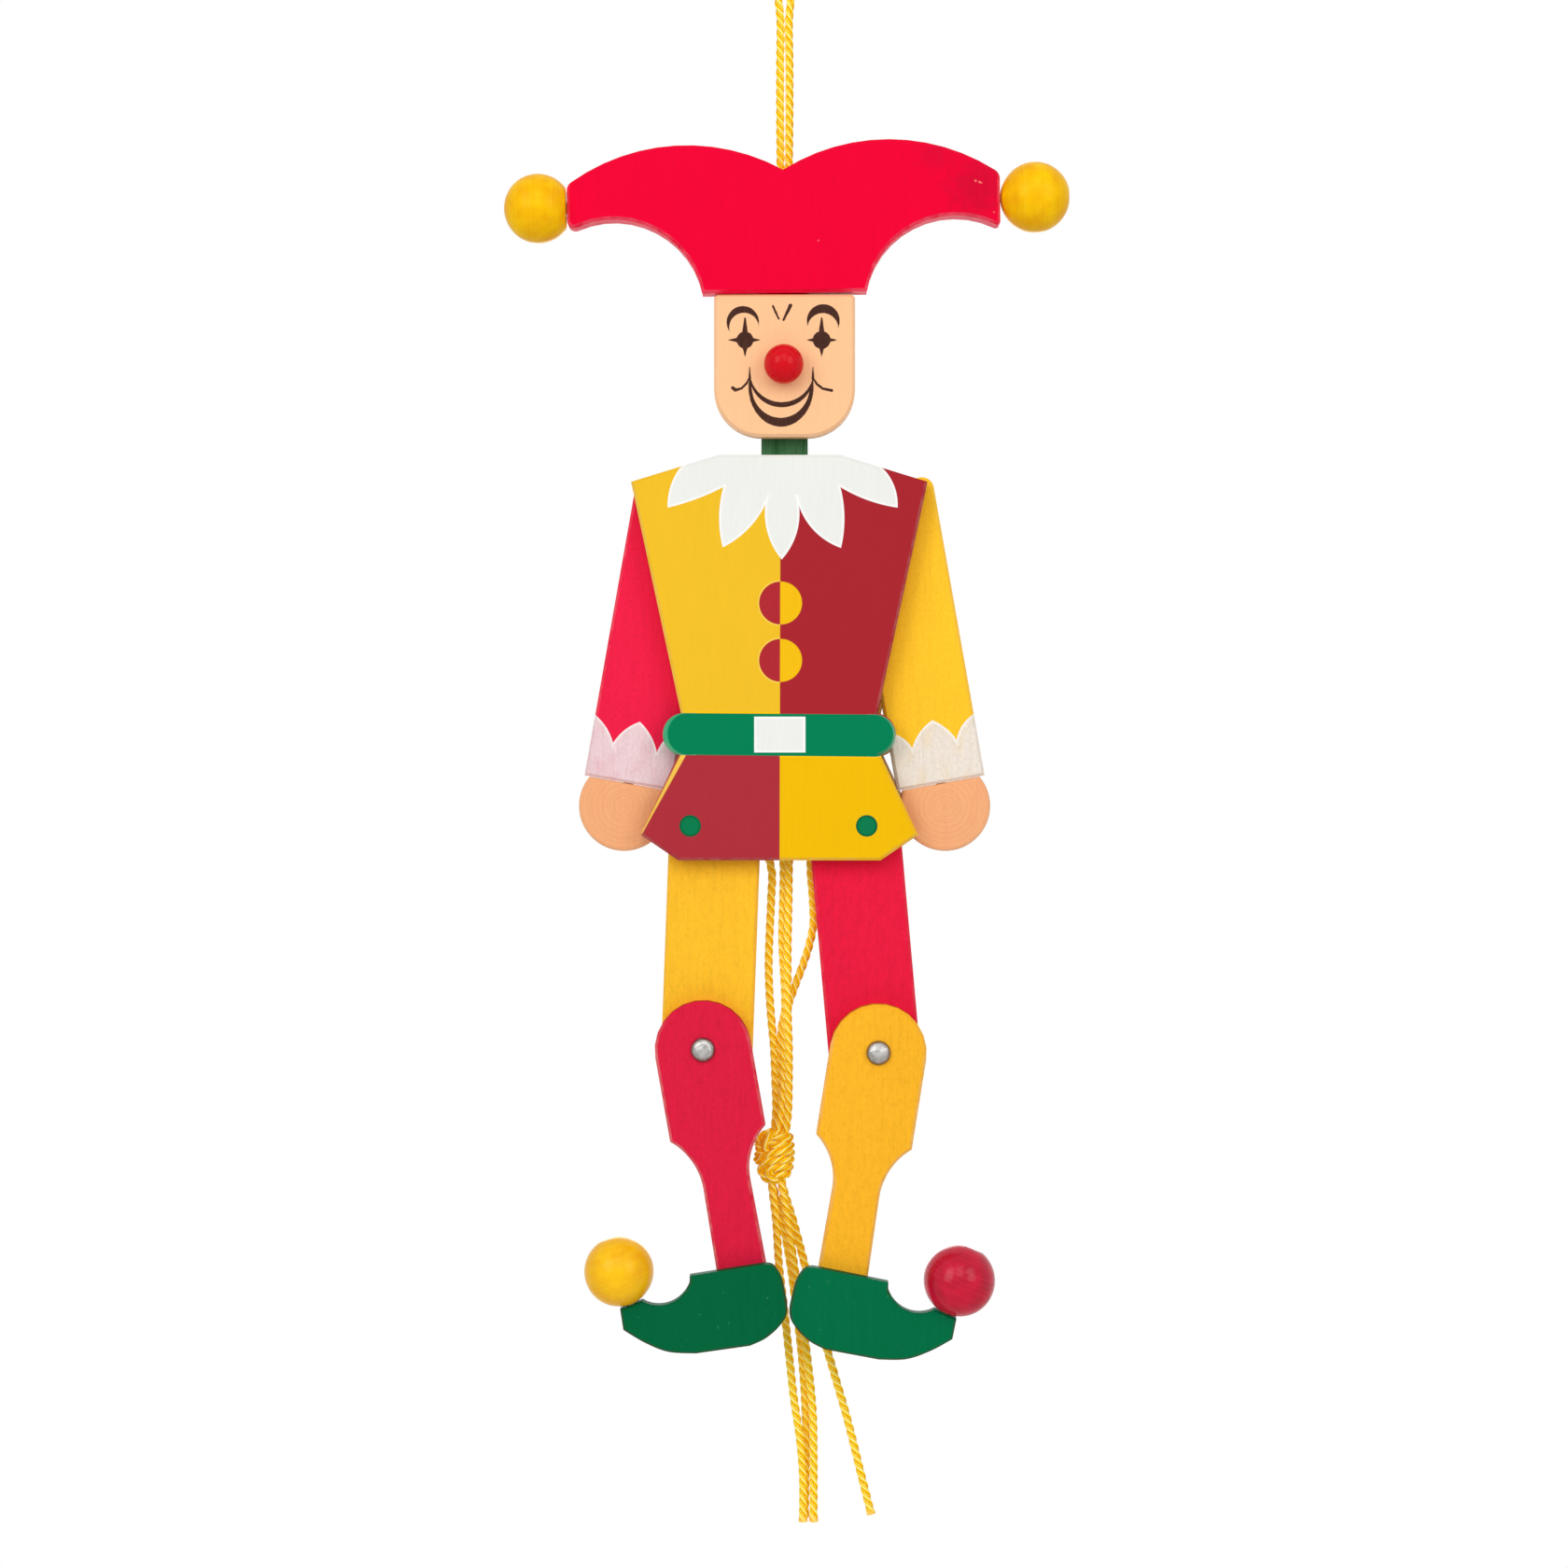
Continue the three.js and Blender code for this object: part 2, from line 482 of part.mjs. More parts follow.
// Arms with their hands
for (const side in sides) {
  const out = sides[side];
  const arm = new THREE.Group();
  arm.position.set(out * SHOULDER_X, 0, shoulderZ);
  arm.rotation.y = -out * radians(armLean);
  part.add(arm);

  const sleeve = new THREE.Shape();
  sleeve.moveTo(-ARM_HALF_WIDTH, -ARM_BELOW_PIVOT);
  sleeve.lineTo(ARM_HALF_WIDTH, -ARM_BELOW_PIVOT);
  sleeve.absarc(ARM_HALF_WIDTH - LIMB_CORNER, ARM_ABOVE_PIVOT - LIMB_CORNER, LIMB_CORNER, 0, Math.PI / 2);
  sleeve.absarc(-ARM_HALF_WIDTH + LIMB_CORNER, ARM_ABOVE_PIVOT - LIMB_CORNER, LIMB_CORNER, Math.PI / 2, Math.PI);
  const down = new THREE.Vector3(0, 0, -1);
  const limbMiddle = (LIMB_FRONT + LIMB_BACK) / 2;
  const pinCentre = new THREE.Vector3(0, limbMiddle, -ARM_BELOW_PIVOT - GLUE_GAP / 2);
  const pinBore = rodAlong(PIN_RADIUS + RUNNING_GAP, pinCentre, down, PIN_HALF_LENGTH + GLUE_GAP);
  const sleeveBoard = cut(
    board(sleeve, LIMB_BACK, LIMB_THICKNESS),
    rodY(DOWEL_RADIUS + RUNNING_GAP, 0, 0, LIMB_FRONT - 1, LIMB_BACK + 1),
    rodY(STRING_HOLE_RADIUS, -out * ARM_LEVER_IN, ARM_LEVER_UP, LIMB_FRONT - 1, LIMB_BACK + 1, 16),
    pinBore,
  );
  add(arm, `arm_${side}`, sleeveBoard, side === 'left' ? RED : YELLOW);

  const handUp = -handDrop;
  const chordAngle = Math.asin(HAND_CHORD / HAND_RADIUS);
  const palm = new THREE.Shape();
  palm.absarc(0, handUp, HAND_RADIUS, Math.PI - chordAngle, 2 * Math.PI + chordAngle, false);
  add(arm, `hand_${side}`, cut(board(palm, LIMB_BACK, LIMB_THICKNESS, HAND_EDGE), pinBore), SKIN);
  add(arm, `hand_pin_${side}`, rodAlong(PIN_RADIUS, pinCentre, down, PIN_HALF_LENGTH), WOOD);
  add(arm, `arm_string_knot_${side}`, stringKnot(-out * ARM_LEVER_IN, ARM_LEVER_UP), CORD);
}

// Legs: thigh, knee rivet, lower leg, shoe and toe bead
function rivet() {
  const headBack = LOWER_LEG_FRONT - RIVET_PLAY;
  const peenFront = LIMB_BACK + 2 * RIVET_PLAY + WASHER_THICKNESS;
  const points = [];
  for (let i = 0; i <= 6; i++) {
    const a = Math.PI / 2 * i / 6;
    points.push(new THREE.Vector2(RIVET_HEAD_RADIUS * Math.sin(a), headBack - RIVET_HEAD_HEIGHT * Math.cos(a)));
  }
  points.push(new THREE.Vector2(RIVET_SHANK_RADIUS, headBack));
  points.push(new THREE.Vector2(RIVET_SHANK_RADIUS, peenFront));
  points.push(new THREE.Vector2(PEEN_RADIUS, peenFront));
  points.push(new THREE.Vector2(PEEN_RADIUS * 0.8, peenFront + PEEN_HEIGHT * 0.7));
  points.push(new THREE.Vector2(0, peenFront + PEEN_HEIGHT));
  return new THREE.LatheGeometry(points, 20);
}

function washer() {
  const front = LIMB_BACK + RIVET_PLAY;
  const bore = RIVET_SHANK_RADIUS + RUNNING_GAP;
  const points = [
    new THREE.Vector2(bore, front),
    new THREE.Vector2(WASHER_RADIUS, front),
    new THREE.Vector2(WASHER_RADIUS, front + WASHER_THICKNESS),
    new THREE.Vector2(bore, front + WASHER_THICKNESS),
    new THREE.Vector2(bore, front),
  ];
  return new THREE.LatheGeometry(points, 24);
}

// The lower leg's outline: a round-topped calf that narrows into the shin with a hollow arc.
function lowerLegOutline(calfDrop) {
  const filletDrop = calfDrop + SHIN_FILLET_BELOW_CALF;
  const filletX = SHIN_HALF_WIDTH + SHIN_FILLET;
  const filletStart = Math.atan2(SHIN_FILLET_BELOW_CALF, CALF_HALF_WIDTH - filletX);
  const s = new THREE.Shape();
  s.absarc(0, 0, CALF_HALF_WIDTH, 0, Math.PI, false);
  s.lineTo(-CALF_HALF_WIDTH, -calfDrop);
  s.absarc(-filletX, -filletDrop, SHIN_FILLET, Math.PI - filletStart, 0, true);
  s.lineTo(-SHIN_END_HALF_WIDTH, -SHIN_DROP);
  s.lineTo(SHIN_END_HALF_WIDTH, -SHIN_DROP);
  s.absarc(filletX, -filletDrop, SHIN_FILLET, Math.PI, filletStart, true);
  s.lineTo(CALF_HALF_WIDTH, -calfDrop);
  return s;
}

// The shoe's outline, toe outwards: a round heel, a flat sole and a toe cut off square under its
// bead, with a round notch between the toe and the ankle.
function shoeOutline(out) {
  const at = ([x, z]) => new THREE.Vector2(out * x, z + SHOE_CENTRE_DROP);
  const s = new THREE.Shape();
  s.moveTo(...at(SHOE_TOP[0]));
  s.lineTo(...at(SHOE_TOP[1]));
  s.splineThru(SHOE_HEEL.map(at));
  s.lineTo(...at(SHOE_SOLE_END));
  s.splineThru(SHOE_TOE.map(at));
  s.lineTo(...at(TOE_END_LOW));
  s.lineTo(...at(TOE_END_HIGH));
  const [cx, cz] = TOE_NOTCH_CENTRE;
  const from = Math.atan2(TOE_END_HIGH[1] - cz, TOE_END_HIGH[0] - cx);
  const to = Math.atan2(TOE_NOTCH_END[1] - cz, TOE_NOTCH_END[0] - cx);
  const turns = 12;
  for (let i = 1; i <= turns; i++) {
    const a = from + (to - from) * i / turns;
    s.lineTo(...at([cx + TOE_NOTCH_RADIUS * Math.cos(a), cz + TOE_NOTCH_RADIUS * Math.sin(a)]));
  }
  return s;
}

for (const side in sides) {
  const out = sides[side];
  const thighLean = radians(THIGH_LEAN[side]);
  const leg = new THREE.Group();
  leg.position.set(out * HIP_X, 0, hipZ);
  leg.rotation.y = -out * thighLean;
  part.add(leg);

  const kneeX = out * KNEE_OUT;
  const kneeZ = -THIGH_LENGTH[side];
  const strip = new THREE.Shape();
  strip.absarc(0, kneeZ, THIGH_HALF_WIDTH, Math.PI, 2 * Math.PI, false);
  strip.absarc(0, 0, THIGH_HALF_WIDTH, 0, Math.PI, false);
  const rivetBore = RIVET_SHANK_RADIUS + RUNNING_GAP;
  const thighBoard = cut(
    board(strip, LIMB_BACK, LIMB_THICKNESS),
    rodY(DOWEL_RADIUS + RUNNING_GAP, 0, 0, LIMB_FRONT - 1, LIMB_BACK + 1),
    rodY(STRING_HOLE_RADIUS, -out * THIGH_LEVER_IN, THIGH_LEVER_UP, LIMB_FRONT - 1, LIMB_BACK + 1, 16),
    rodY(rivetBore, kneeX, kneeZ, LIMB_FRONT - 1, LIMB_BACK + 1, 24),
  );
  add(leg, `thigh_${side}`, thighBoard, side === 'left' ? YELLOW : RED);
  add(leg, `thigh_string_knot_${side}`, stringKnot(-out * THIGH_LEVER_IN, THIGH_LEVER_UP), CORD);

  const knee = new THREE.Group();
  knee.position.set(kneeX, 0, kneeZ);
  leg.add(knee);
  add(knee, `knee_rivet_${side}`, rivet(), STEEL);
  add(knee, `knee_washer_${side}`, washer(), STEEL);

  const lower = new THREE.Group();
  lower.rotation.y = out * thighLean - out * radians(LOWER_LEG_LEAN[side]);
  knee.add(lower);
  const calf = cut(
    board(lowerLegOutline(CALF_DROP[side]), LOWER_LEG_BACK, LOWER_LEG_THICKNESS),
    rodY(rivetBore, 0, 0, LOWER_LEG_FRONT - 1, LOWER_LEG_BACK + 1, 24),
  );
  add(lower, `lower_leg_${side}`, calf, side === 'left' ? RED : YELLOW);

  const foot = new THREE.Group();
  foot.position.set(out * SHOE_SHIFT[side][0], 0, SHOE_SHIFT[side][1] - SHOE_CENTRE_DROP);
  foot.rotation.y = out * radians(SHOE_TURN[side]);
  lower.add(foot);
  const shoeMiddle = LOWER_LEG_FRONT - SHOE_THICKNESS / 2;
  const low = new THREE.Vector3(out * TOE_END_LOW[0], shoeMiddle, TOE_END_LOW[1] + SHOE_CENTRE_DROP);
  const high = new THREE.Vector3(out * TOE_END_HIGH[0], shoeMiddle, TOE_END_HIGH[1] + SHOE_CENTRE_DROP);
  const along = new THREE.Vector3().subVectors(low, high).normalize();
  const upwards = new THREE.Vector3(-out * along.z, 0, out * along.x);
  const toePoint = new THREE.Vector3().addVectors(low, high).multiplyScalar(0.5);
  const pinCentre = toePoint.clone().addScaledVector(upwards, GLUE_GAP / 2);
  const halfLength = TOE_BEAD_HALF_LENGTH[side];
  const beadCentre = toePoint.clone().addScaledVector(upwards, GLUE_GAP + halfLength);
  const pinBore = rodAlong(PIN_RADIUS + RUNNING_GAP, pinCentre, upwards, PIN_HALF_LENGTH + GLUE_GAP);
  const shoe = board(shoeOutline(out), LOWER_LEG_FRONT, SHOE_THICKNESS, 0.5, 4);
  add(foot, `shoe_${side}`, cut(shoe, pinBore), GREEN);
  add(foot, `toe_bead_${side}`, bead(TOE_BEAD_RADIUS[side], halfLength, halfLength,
    PIN_HALF_LENGTH + GLUE_GAP, beadCentre, upwards), side === 'left' ? YELLOW : DARK_RED);
  add(foot, `toe_pin_${side}`, rodAlong(PIN_RADIUS, pinCentre, upwards, PIN_HALF_LENGTH), WOOD);
}

// Cords: smooth tubes through points chosen along each real route
function tube(points, radius = CORD_RADIUS, step = CORD_STEP, closedSides = CORD_SIDES) {
  const curve = new THREE.CatmullRomCurve3(points.map((p) => new THREE.Vector3(...p)), false, 'centripetal');
  const section = new THREE.Shape();
  for (let i = 0; i < closedSides; i++) {
    const a = 2 * Math.PI * i / closedSides;
    const place = i === 0 ? 'moveTo' : 'lineTo';
    section[place](radius * Math.cos(a), radius * Math.sin(a));
  }
  const steps = Math.ceil(curve.getLength() / step);
  return new THREE.ExtrudeGeometry(section, { steps, bevelEnabled: false, extrudePath: curve });
}

// The hanging cord: doubled, both ends glued in the spine's socket, its bight open for a hook
const HANGING_CORD = [
  [-1.15, 0, -78], [-1.15, 0, -60], [-1.3, 0, -44], [-1.3, 0, -32], [-1.2, 0, -20], [-2.1, 0, -13],
  [-3.5, 0, -8], [-4.3, 0, -3.8], [-3.1, 0, -0.2], [0, 0, 1], [3.1, 0, -0.2], [4.3, 0, -3.8],
  [3.5, 0, -8], [2.1, 0, -13], [1.2, 0, -20], [1.3, 0, -32], [1.3, 0, -44], [1.15, 0, -60], [1.15, 0, -78],
];
add(part, 'hanging_cord', tube(HANGING_CORD, CORD_RADIUS, 4), CORD);

// The pull strings, from below each lever's knot into the top of the main knot
const stringDrop = STRING_KNOT_RADIUS + STRING_START_GAP;
function stringStart(side, pivotX, pivotZ, lean, leverIn, leverUp) {
  const p = leaned(side, pivotX, pivotZ, lean, -leverIn, leverUp);
  return [p.x, STRING_PLANE_Y, p.z - stringDrop];
}
const PULL_STRINGS = {
  arm_left: [
    stringStart('left', SHOULDER_X, shoulderZ, armLean, ARM_LEVER_IN, ARM_LEVER_UP),
    [-20.4, 2.8, -160], [-15.2, 2.6, -175], [-9.0, 2.3, -191], [-3.8, 1.9, -206], [-1.4, 1.6, -219],
    [-0.8, 1.55, -232], [-0.8, 1.55, -246], [-1.1, 1.55, -260], [-1.5, 1.55, -273], [-2.1, 1.55, -285],
    [-3.1, 1.55, -295], [-3.2, 1.55, -304.3],
  ],
  arm_right: [
    stringStart('right', SHOULDER_X, shoulderZ, armLean, ARM_LEVER_IN, ARM_LEVER_UP),
    [20.4, 2.8, -160], [15.2, 2.6, -175], [9.0, 2.3, -191], [4.2, 1.9, -206], [2.2, 1.6, -219],
    [1.6, 1.55, -232], [1.6, 1.55, -246], [1.4, 1.55, -260], [1.0, 1.55, -273], [0.4, 1.55, -285],
    [-0.7, 1.55, -295], [-0.75, 1.55, -304.3],
  ],
  thigh_left: [
    stringStart('left', HIP_X, hipZ, THIGH_LEAN.left, THIGH_LEVER_IN, THIGH_LEVER_UP),
    [-6.4, 3.2, -225], [-3.7, 3.7, -233], [-3.7, 4.05, -240], [-4.0, 4.05, -250], [-4.2, 4.05, -259],
    [-3.9, 4.05, -267], [-3.1, 4.05, -275], [-2.6, 4.05, -284], [-3.1, 4.05, -295], [-3.2, 4.05, -304.3],
  ],
  thigh_right: [
    stringStart('right', HIP_X, hipZ, THIGH_LEAN.right, THIGH_LEVER_IN, THIGH_LEVER_UP),
    [7.0, 3.2, -225], [6.3, 3.7, -232], [7.0, 4.05, -241], [7.5, 4.05, -249], [6.4, 4.05, -256],
    [3.3, 4.05, -263], [1.7, 4.05, -270], [0.9, 4.05, -278], [0.2, 4.05, -286], [-0.7, 4.05, -295],
    [-0.75, 4.05, -304.3],
  ],
};
for (const limb in PULL_STRINGS) add(part, `pull_string_${limb}`, tube(PULL_STRINGS[limb]), CORD);

// The four tails that hang from the main knot, cut off unevenly
const KNOT_TAILS = [
  [
    [-3.2, 1.55, -304.6], [-3.2, 1.55, -311], [-2.1, 1.5, -321], [-1.4, 1.5, -332], [-0.2, 1.5, -342],
    [1.1, 1.5, -354], [2.3, 1.5, -365], [3.9, 1.5, -376], [4.6, 1.5, -385], [4.6, 1.5, -396],
  ],
  [
    [-3.2, 4.05, -304.6], [-3.2, 4.05, -311], [-0.6, 4.05, -321], [1.4, 4.05, -332], [2.9, 4.0, -343],
    [4.4, 3.9, -356], [5.2, 3.85, -368], [5.4, 3.85, -378], [5.1, 3.85, -395.5],
  ],
  [
    [-0.75, 1.55, -304.6], [-0.75, 1.55, -311], [0.9, 1.5, -321], [2.4, 1.5, -332], [4.1, 1.5, -343],
    [5.8, 1.5, -356], [7.0, 1.5, -368], [7.25, 1.5, -378], [7.25, 1.5, -396],
  ],
  [
    [-0.75, 4.05, -304.6], [-0.75, 4.05, -311], [2.1, 4.05, -321], [5.0, 4.05, -332], [8.2, 3.9, -345],
    [12.3, 3.7, -359], [15.9, 3.6, -371.5], [19.0, 3.6, -384], [21.7, 3.6, -394.7],
  ],
];
KNOT_TAILS.forEach((route, i) => add(part, `cord_tail_${i + 1}`, tube(route), CORD));

// The main knot: one strand wound round the other four in a barrel of steady pitch
function knotPoints(stepsPerTurn) {
  const points = [];
  const count = Math.round(KNOT_WRAPS * stepsPerTurn);
  for (let i = 0; i <= count; i++) {
    const share = i / count;
    const turn = 2 * Math.PI * KNOT_WRAPS * share;
    const r = KNOT_WRAP_RADIUS + KNOT_BULGE * Math.sin(Math.PI * share);
    const z = KNOT_PITCH * KNOT_WRAPS * (0.5 - share);
    points.push([
      KNOT_CENTRE[0] + r * Math.cos(turn),
      KNOT_CENTRE[1] + r * Math.sin(turn),
      KNOT_CENTRE[2] + z,
    ]);
  }
  return points;
}

function leastGap(points, radius, skip) {
  let least = Infinity;
  for (let i = 0; i < points.length; i++) {
    for (let j = i + skip; j < points.length; j++) {
      const [dx, dy, dz] = [0, 1, 2].map((k) => points[i][k] - points[j][k]);
      least = Math.min(least, Math.hypot(dx, dy, dz) - 2 * radius);
    }
  }
  return least;
}

const KNOT_STEPS = 24;
const wraps = knotPoints(KNOT_STEPS);
const wrapStep = 2 * Math.PI * KNOT_WRAP_RADIUS / KNOT_STEPS;
add(part, 'pull_knot', tube(wraps, CORD_RADIUS, wrapStep, 6), CORD);
console.log(`least gap in the main knot's wraps: ${leastGap(wraps, CORD_RADIUS, KNOT_STEPS / 2).toFixed(2)} mm`);

export default part;
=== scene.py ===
import math
import bmesh
import bpy
import numpy as np
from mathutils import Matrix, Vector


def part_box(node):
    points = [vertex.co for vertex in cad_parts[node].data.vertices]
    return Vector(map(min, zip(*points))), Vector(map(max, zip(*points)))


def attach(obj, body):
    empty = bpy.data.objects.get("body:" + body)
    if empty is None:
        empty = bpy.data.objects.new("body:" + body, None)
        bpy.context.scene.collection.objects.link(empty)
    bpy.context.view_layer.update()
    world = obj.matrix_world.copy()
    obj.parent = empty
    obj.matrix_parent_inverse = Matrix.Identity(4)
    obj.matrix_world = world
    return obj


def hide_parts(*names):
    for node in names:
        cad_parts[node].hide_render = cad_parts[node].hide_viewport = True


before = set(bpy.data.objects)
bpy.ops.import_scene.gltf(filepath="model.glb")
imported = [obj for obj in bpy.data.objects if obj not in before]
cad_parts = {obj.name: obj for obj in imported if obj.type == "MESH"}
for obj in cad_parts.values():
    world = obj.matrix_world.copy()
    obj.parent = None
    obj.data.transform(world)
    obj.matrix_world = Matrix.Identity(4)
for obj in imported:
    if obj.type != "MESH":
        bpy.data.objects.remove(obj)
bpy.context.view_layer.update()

# The camera stands level in front of the figure, at the height of its belt, as in the photograph.
# Its view is 386 mm wide at the plane of the painted boards.
EYE = (-0.00014, -0.675, -0.2116)
VIEW_WIDTH_DEGREES = 32.33

camera = bpy.data.cameras.new("camera")
camera.sensor_fit = "HORIZONTAL"
camera.angle = math.radians(VIEW_WIDTH_DEGREES)
camera.clip_start = 0.01
camera_object = bpy.data.objects.new("camera", camera)
camera_object.location = EYE
camera_object.rotation_euler = (math.pi / 2, 0, 0)
bpy.context.scene.collection.objects.link(camera_object)
bpy.context.scene.camera = camera_object
bpy.context.scene.view_settings.view_transform = "Standard"


# The cords are one soft gold cord of three plies, 2 mm thick, laid so that the plies fall to the right.
# Strings from the arms and the thighs meet in one knot, and their four tails hang below it.
# A loop from the top of the neck goes up behind the hat to a nail.
CORD_RADIUS = 0.001
PLY_LENGTH = 0.0074          # one full turn of the lay
PLY_COUNT = 3
# The crest colour is a painted highlight along each ply.
CORD_CREST_HIGHLIGHT = (1.0, 0.95, 0.42)
CORD_BODY = (1.0, 0.68, 0.0)
# The groove colour is painted shade between the plies.
CORD_GROOVE_SHADE = (0.90, 0.34, 0.0)
CORD_FRAYED = (1.0, 0.62, 0.14)
FRAY = 0.0016                # how much of a bare end is loose fibre
CORD_PAINTED_GLOW = 0.07             # a painted glow: the cord emits a little light of its own, so a shaded side stays bright
CORE, PLY_WIDTH = 0.30, 0.77     # shares of the radius: the core that fills the grooves, and a ply's circle on it
TUFT = 1.12                  # a frayed end's radius, as the same share,
TUFT_WAVES = ((7, 0.10, 2.0), (11, 0.06, 0.0))      # and its waves: how many, how deep and the first one's angle
POINT_SPACING, KNOT_SPACING = 0.0004, 0.0002        # between the sections of a cord, and of a knot's strands
PIECE_CREASE = 50            # degrees: a smooth surface shows no edge below this


class Value:
    """A number that varies over a surface: a socket of a node tree, which Python's operators turn into Math nodes."""

    def __init__(self, finish, socket):
        self.finish, self.socket = finish, socket

    def math(self, operation, *others, clamp=False):
        settings = {"operation": operation, "use_clamp": clamp}
        return self.finish.node("ShaderNodeMath", settings, dict(enumerate((self,) + others)))

    def __add__(self, other): return self.math("ADD", other)
    def __radd__(self, other): return self.math("ADD", other)
    def __sub__(self, other): return self.math("SUBTRACT", other)
    def __rsub__(self, other): return self.finish.value(other).math("SUBTRACT", self)
    def __mul__(self, other): return self.math("MULTIPLY", other)
    def __rmul__(self, other): return self.math("MULTIPLY", other)
    def __truediv__(self, other): return self.math("DIVIDE", other)
    def __pow__(self, other): return self.math("POWER", other)
    def __neg__(self): return self.math("MULTIPLY", -1.0)
    def __abs__(self): return self.math("ABSOLUTE")
    def low(self, other): return self.math("MINIMUM", other)
    def high(self, other): return self.math("MAXIMUM", other)
    def held(self): return self.math("ADD", 0.0, clamp=True)

    def inside(self, blur=0.14):
        """1 where a signed distance is below 0, and 0 outside it, with an edge as wide as blur."""
        return self.math("MULTIPLY_ADD", -1.0 / blur, 0.5, clamp=True)


class Finish:
    """A procedural material: one Principled shader and the nodes that feed it."""

    def __init__(self, name, roughness=0.45, shine=0.04, **constants):
        self.material = bpy.data.materials.new(name)
        self.material.use_nodes = True
        self.tree = self.material.node_tree
        self.shader = self.tree.nodes["Principled BSDF"]
        self.shader.inputs["Roughness"].default_value = roughness
        self.shader.inputs["Specular IOR Level"].default_value = shine
        for key, number in constants.items():
            self.shader.inputs[key.replace("_", " ")].default_value = number

    def node(self, kind, settings=None, inputs=None, output=0):
        """Adds one node: its type, its settings, then the values or links of its sockets."""
        node = self.tree.nodes.new(kind)
        for key, setting in (settings or {}).items():
            setattr(node, key, setting)
        for key, given in (inputs or {}).items():
            if isinstance(given, Value):
                self.tree.links.new(given.socket, node.inputs[key])
            else:
                node.inputs[key].default_value = given
        return Value(self, node.outputs[output])

    def value(self, number):
        """A plain number as a Value, for the left side of a subtraction."""
        return self.node("ShaderNodeMath", {"operation": "ADD"}, {0: number, 1: 0.0})

    def place(self):
        """The point on the piece in millimetres, as separate x, y and z."""
        self.point = self.node("ShaderNodeTexCoord", output=3)
        self.point = self.node("ShaderNodeVectorMath", {"operation": "SCALE"}, {0: self.point, 3: 1000.0})
        self.x, self.y, self.z = self.parts(self.point)
        self.flat = self.node("ShaderNodeCombineXYZ", None, {0: self.x, 1: 0.0, 2: self.z})
        return self

    def parts(self, vector):
        """The x, y and z of a vector."""
        split = self.node("ShaderNodeSeparateXYZ", None, {0: vector}).socket.node
        return [Value(self, socket) for socket in split.outputs]

    def noise(self, scale, detail=2.0, stretch=(1, 1, 1), shift=(0, 0, 0), source=None):
        """Soft noise of about 0.5, with its pattern stretched along each axis by the given factors."""
        vector = self.node("ShaderNodeMapping", {"vector_type": "POINT"},
                           {0: source or self.point, 1: shift, 3: tuple(scale / s for s in stretch)})
        return self.node("ShaderNodeTexNoise", None, {"Vector": vector, "Scale": 1.0, "Detail": detail})

    def mix(self, amount, first, second):
        """A colour that goes from first to second as amount goes from 0 to 1."""
        first, second = (c if isinstance(c, Value) else tuple(c) + (1.0,) for c in (first, second))
        return self.node("ShaderNodeMix", {"data_type": "RGBA"}, {0: amount, 6: first, 7: second}, output=2)

    def scaled(self, colour, factor):
        """A colour made darker or lighter by a factor."""
        return self.node("ShaderNodeVectorMath", {"operation": "SCALE"}, {0: colour, 3: factor})

    def feed(self, **sockets):
        """Links values to the shader's sockets."""
        for key, given in sockets.items():
            self.tree.links.new(given.socket, self.shader.inputs[key.replace("_", " ")])

    def relief(self, height, depth):
        """Raises the surface by height times depth, in metres."""
        self.feed(Normal=self.node("ShaderNodeBump", None, {"Strength": 1.0, "Distance": depth, "Height": height}))


def crease(mesh, degrees):
    """Smooth shading, but not across an edge where two faces meet at more than the given angle."""
    shell = bmesh.new()
    shell.from_mesh(mesh)
    for edge in shell.edges:
        edge.smooth = edge.calc_face_angle(0.0) < math.radians(degrees)
    for face in shell.faces:
        face.smooth = True
    shell.to_mesh(mesh)
    shell.free()


def piece(name, points, finish, body, along=False, replaces=(), fields=None):
    """A surface on a grid of points, rows by columns: each small square between four neighbours is a face.
    The last column joins the first. With along the last row joins the first too, and else both are closed."""
    rows, columns = points.shape[:2]
    i = np.arange(rows if along else rows - 1)[:, None]
    j = np.arange(columns)[None, :]
    below, right = (i + 1) % rows, (j + 1) % columns
    faces = np.stack([i * columns + j, below * columns + j, below * columns + right, i * columns + right], -1)
    faces = faces.reshape(-1, 4).tolist()
    if not along:
        faces.append(list(range(columns)))
        faces.append(list(range(rows * columns - 1, (rows - 1) * columns - 1, -1)))
    mesh = bpy.data.meshes.new(name)
    mesh.from_pydata(points.reshape(-1, 3).tolist(), [], faces)
    for key, numbers in (fields or {}).items():
        mesh.attributes.new(key, "FLOAT", "POINT").data.foreach_set("value", numbers.astype(np.float32).ravel())
    mesh.materials.append(finish.material)
    mesh.validate()
    crease(mesh, PIECE_CREASE)
    made = bpy.data.objects.new(name, mesh)
    bpy.context.scene.collection.objects.link(made)
    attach(made, body)
    if replaces:
        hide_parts(*replaces)
    return made


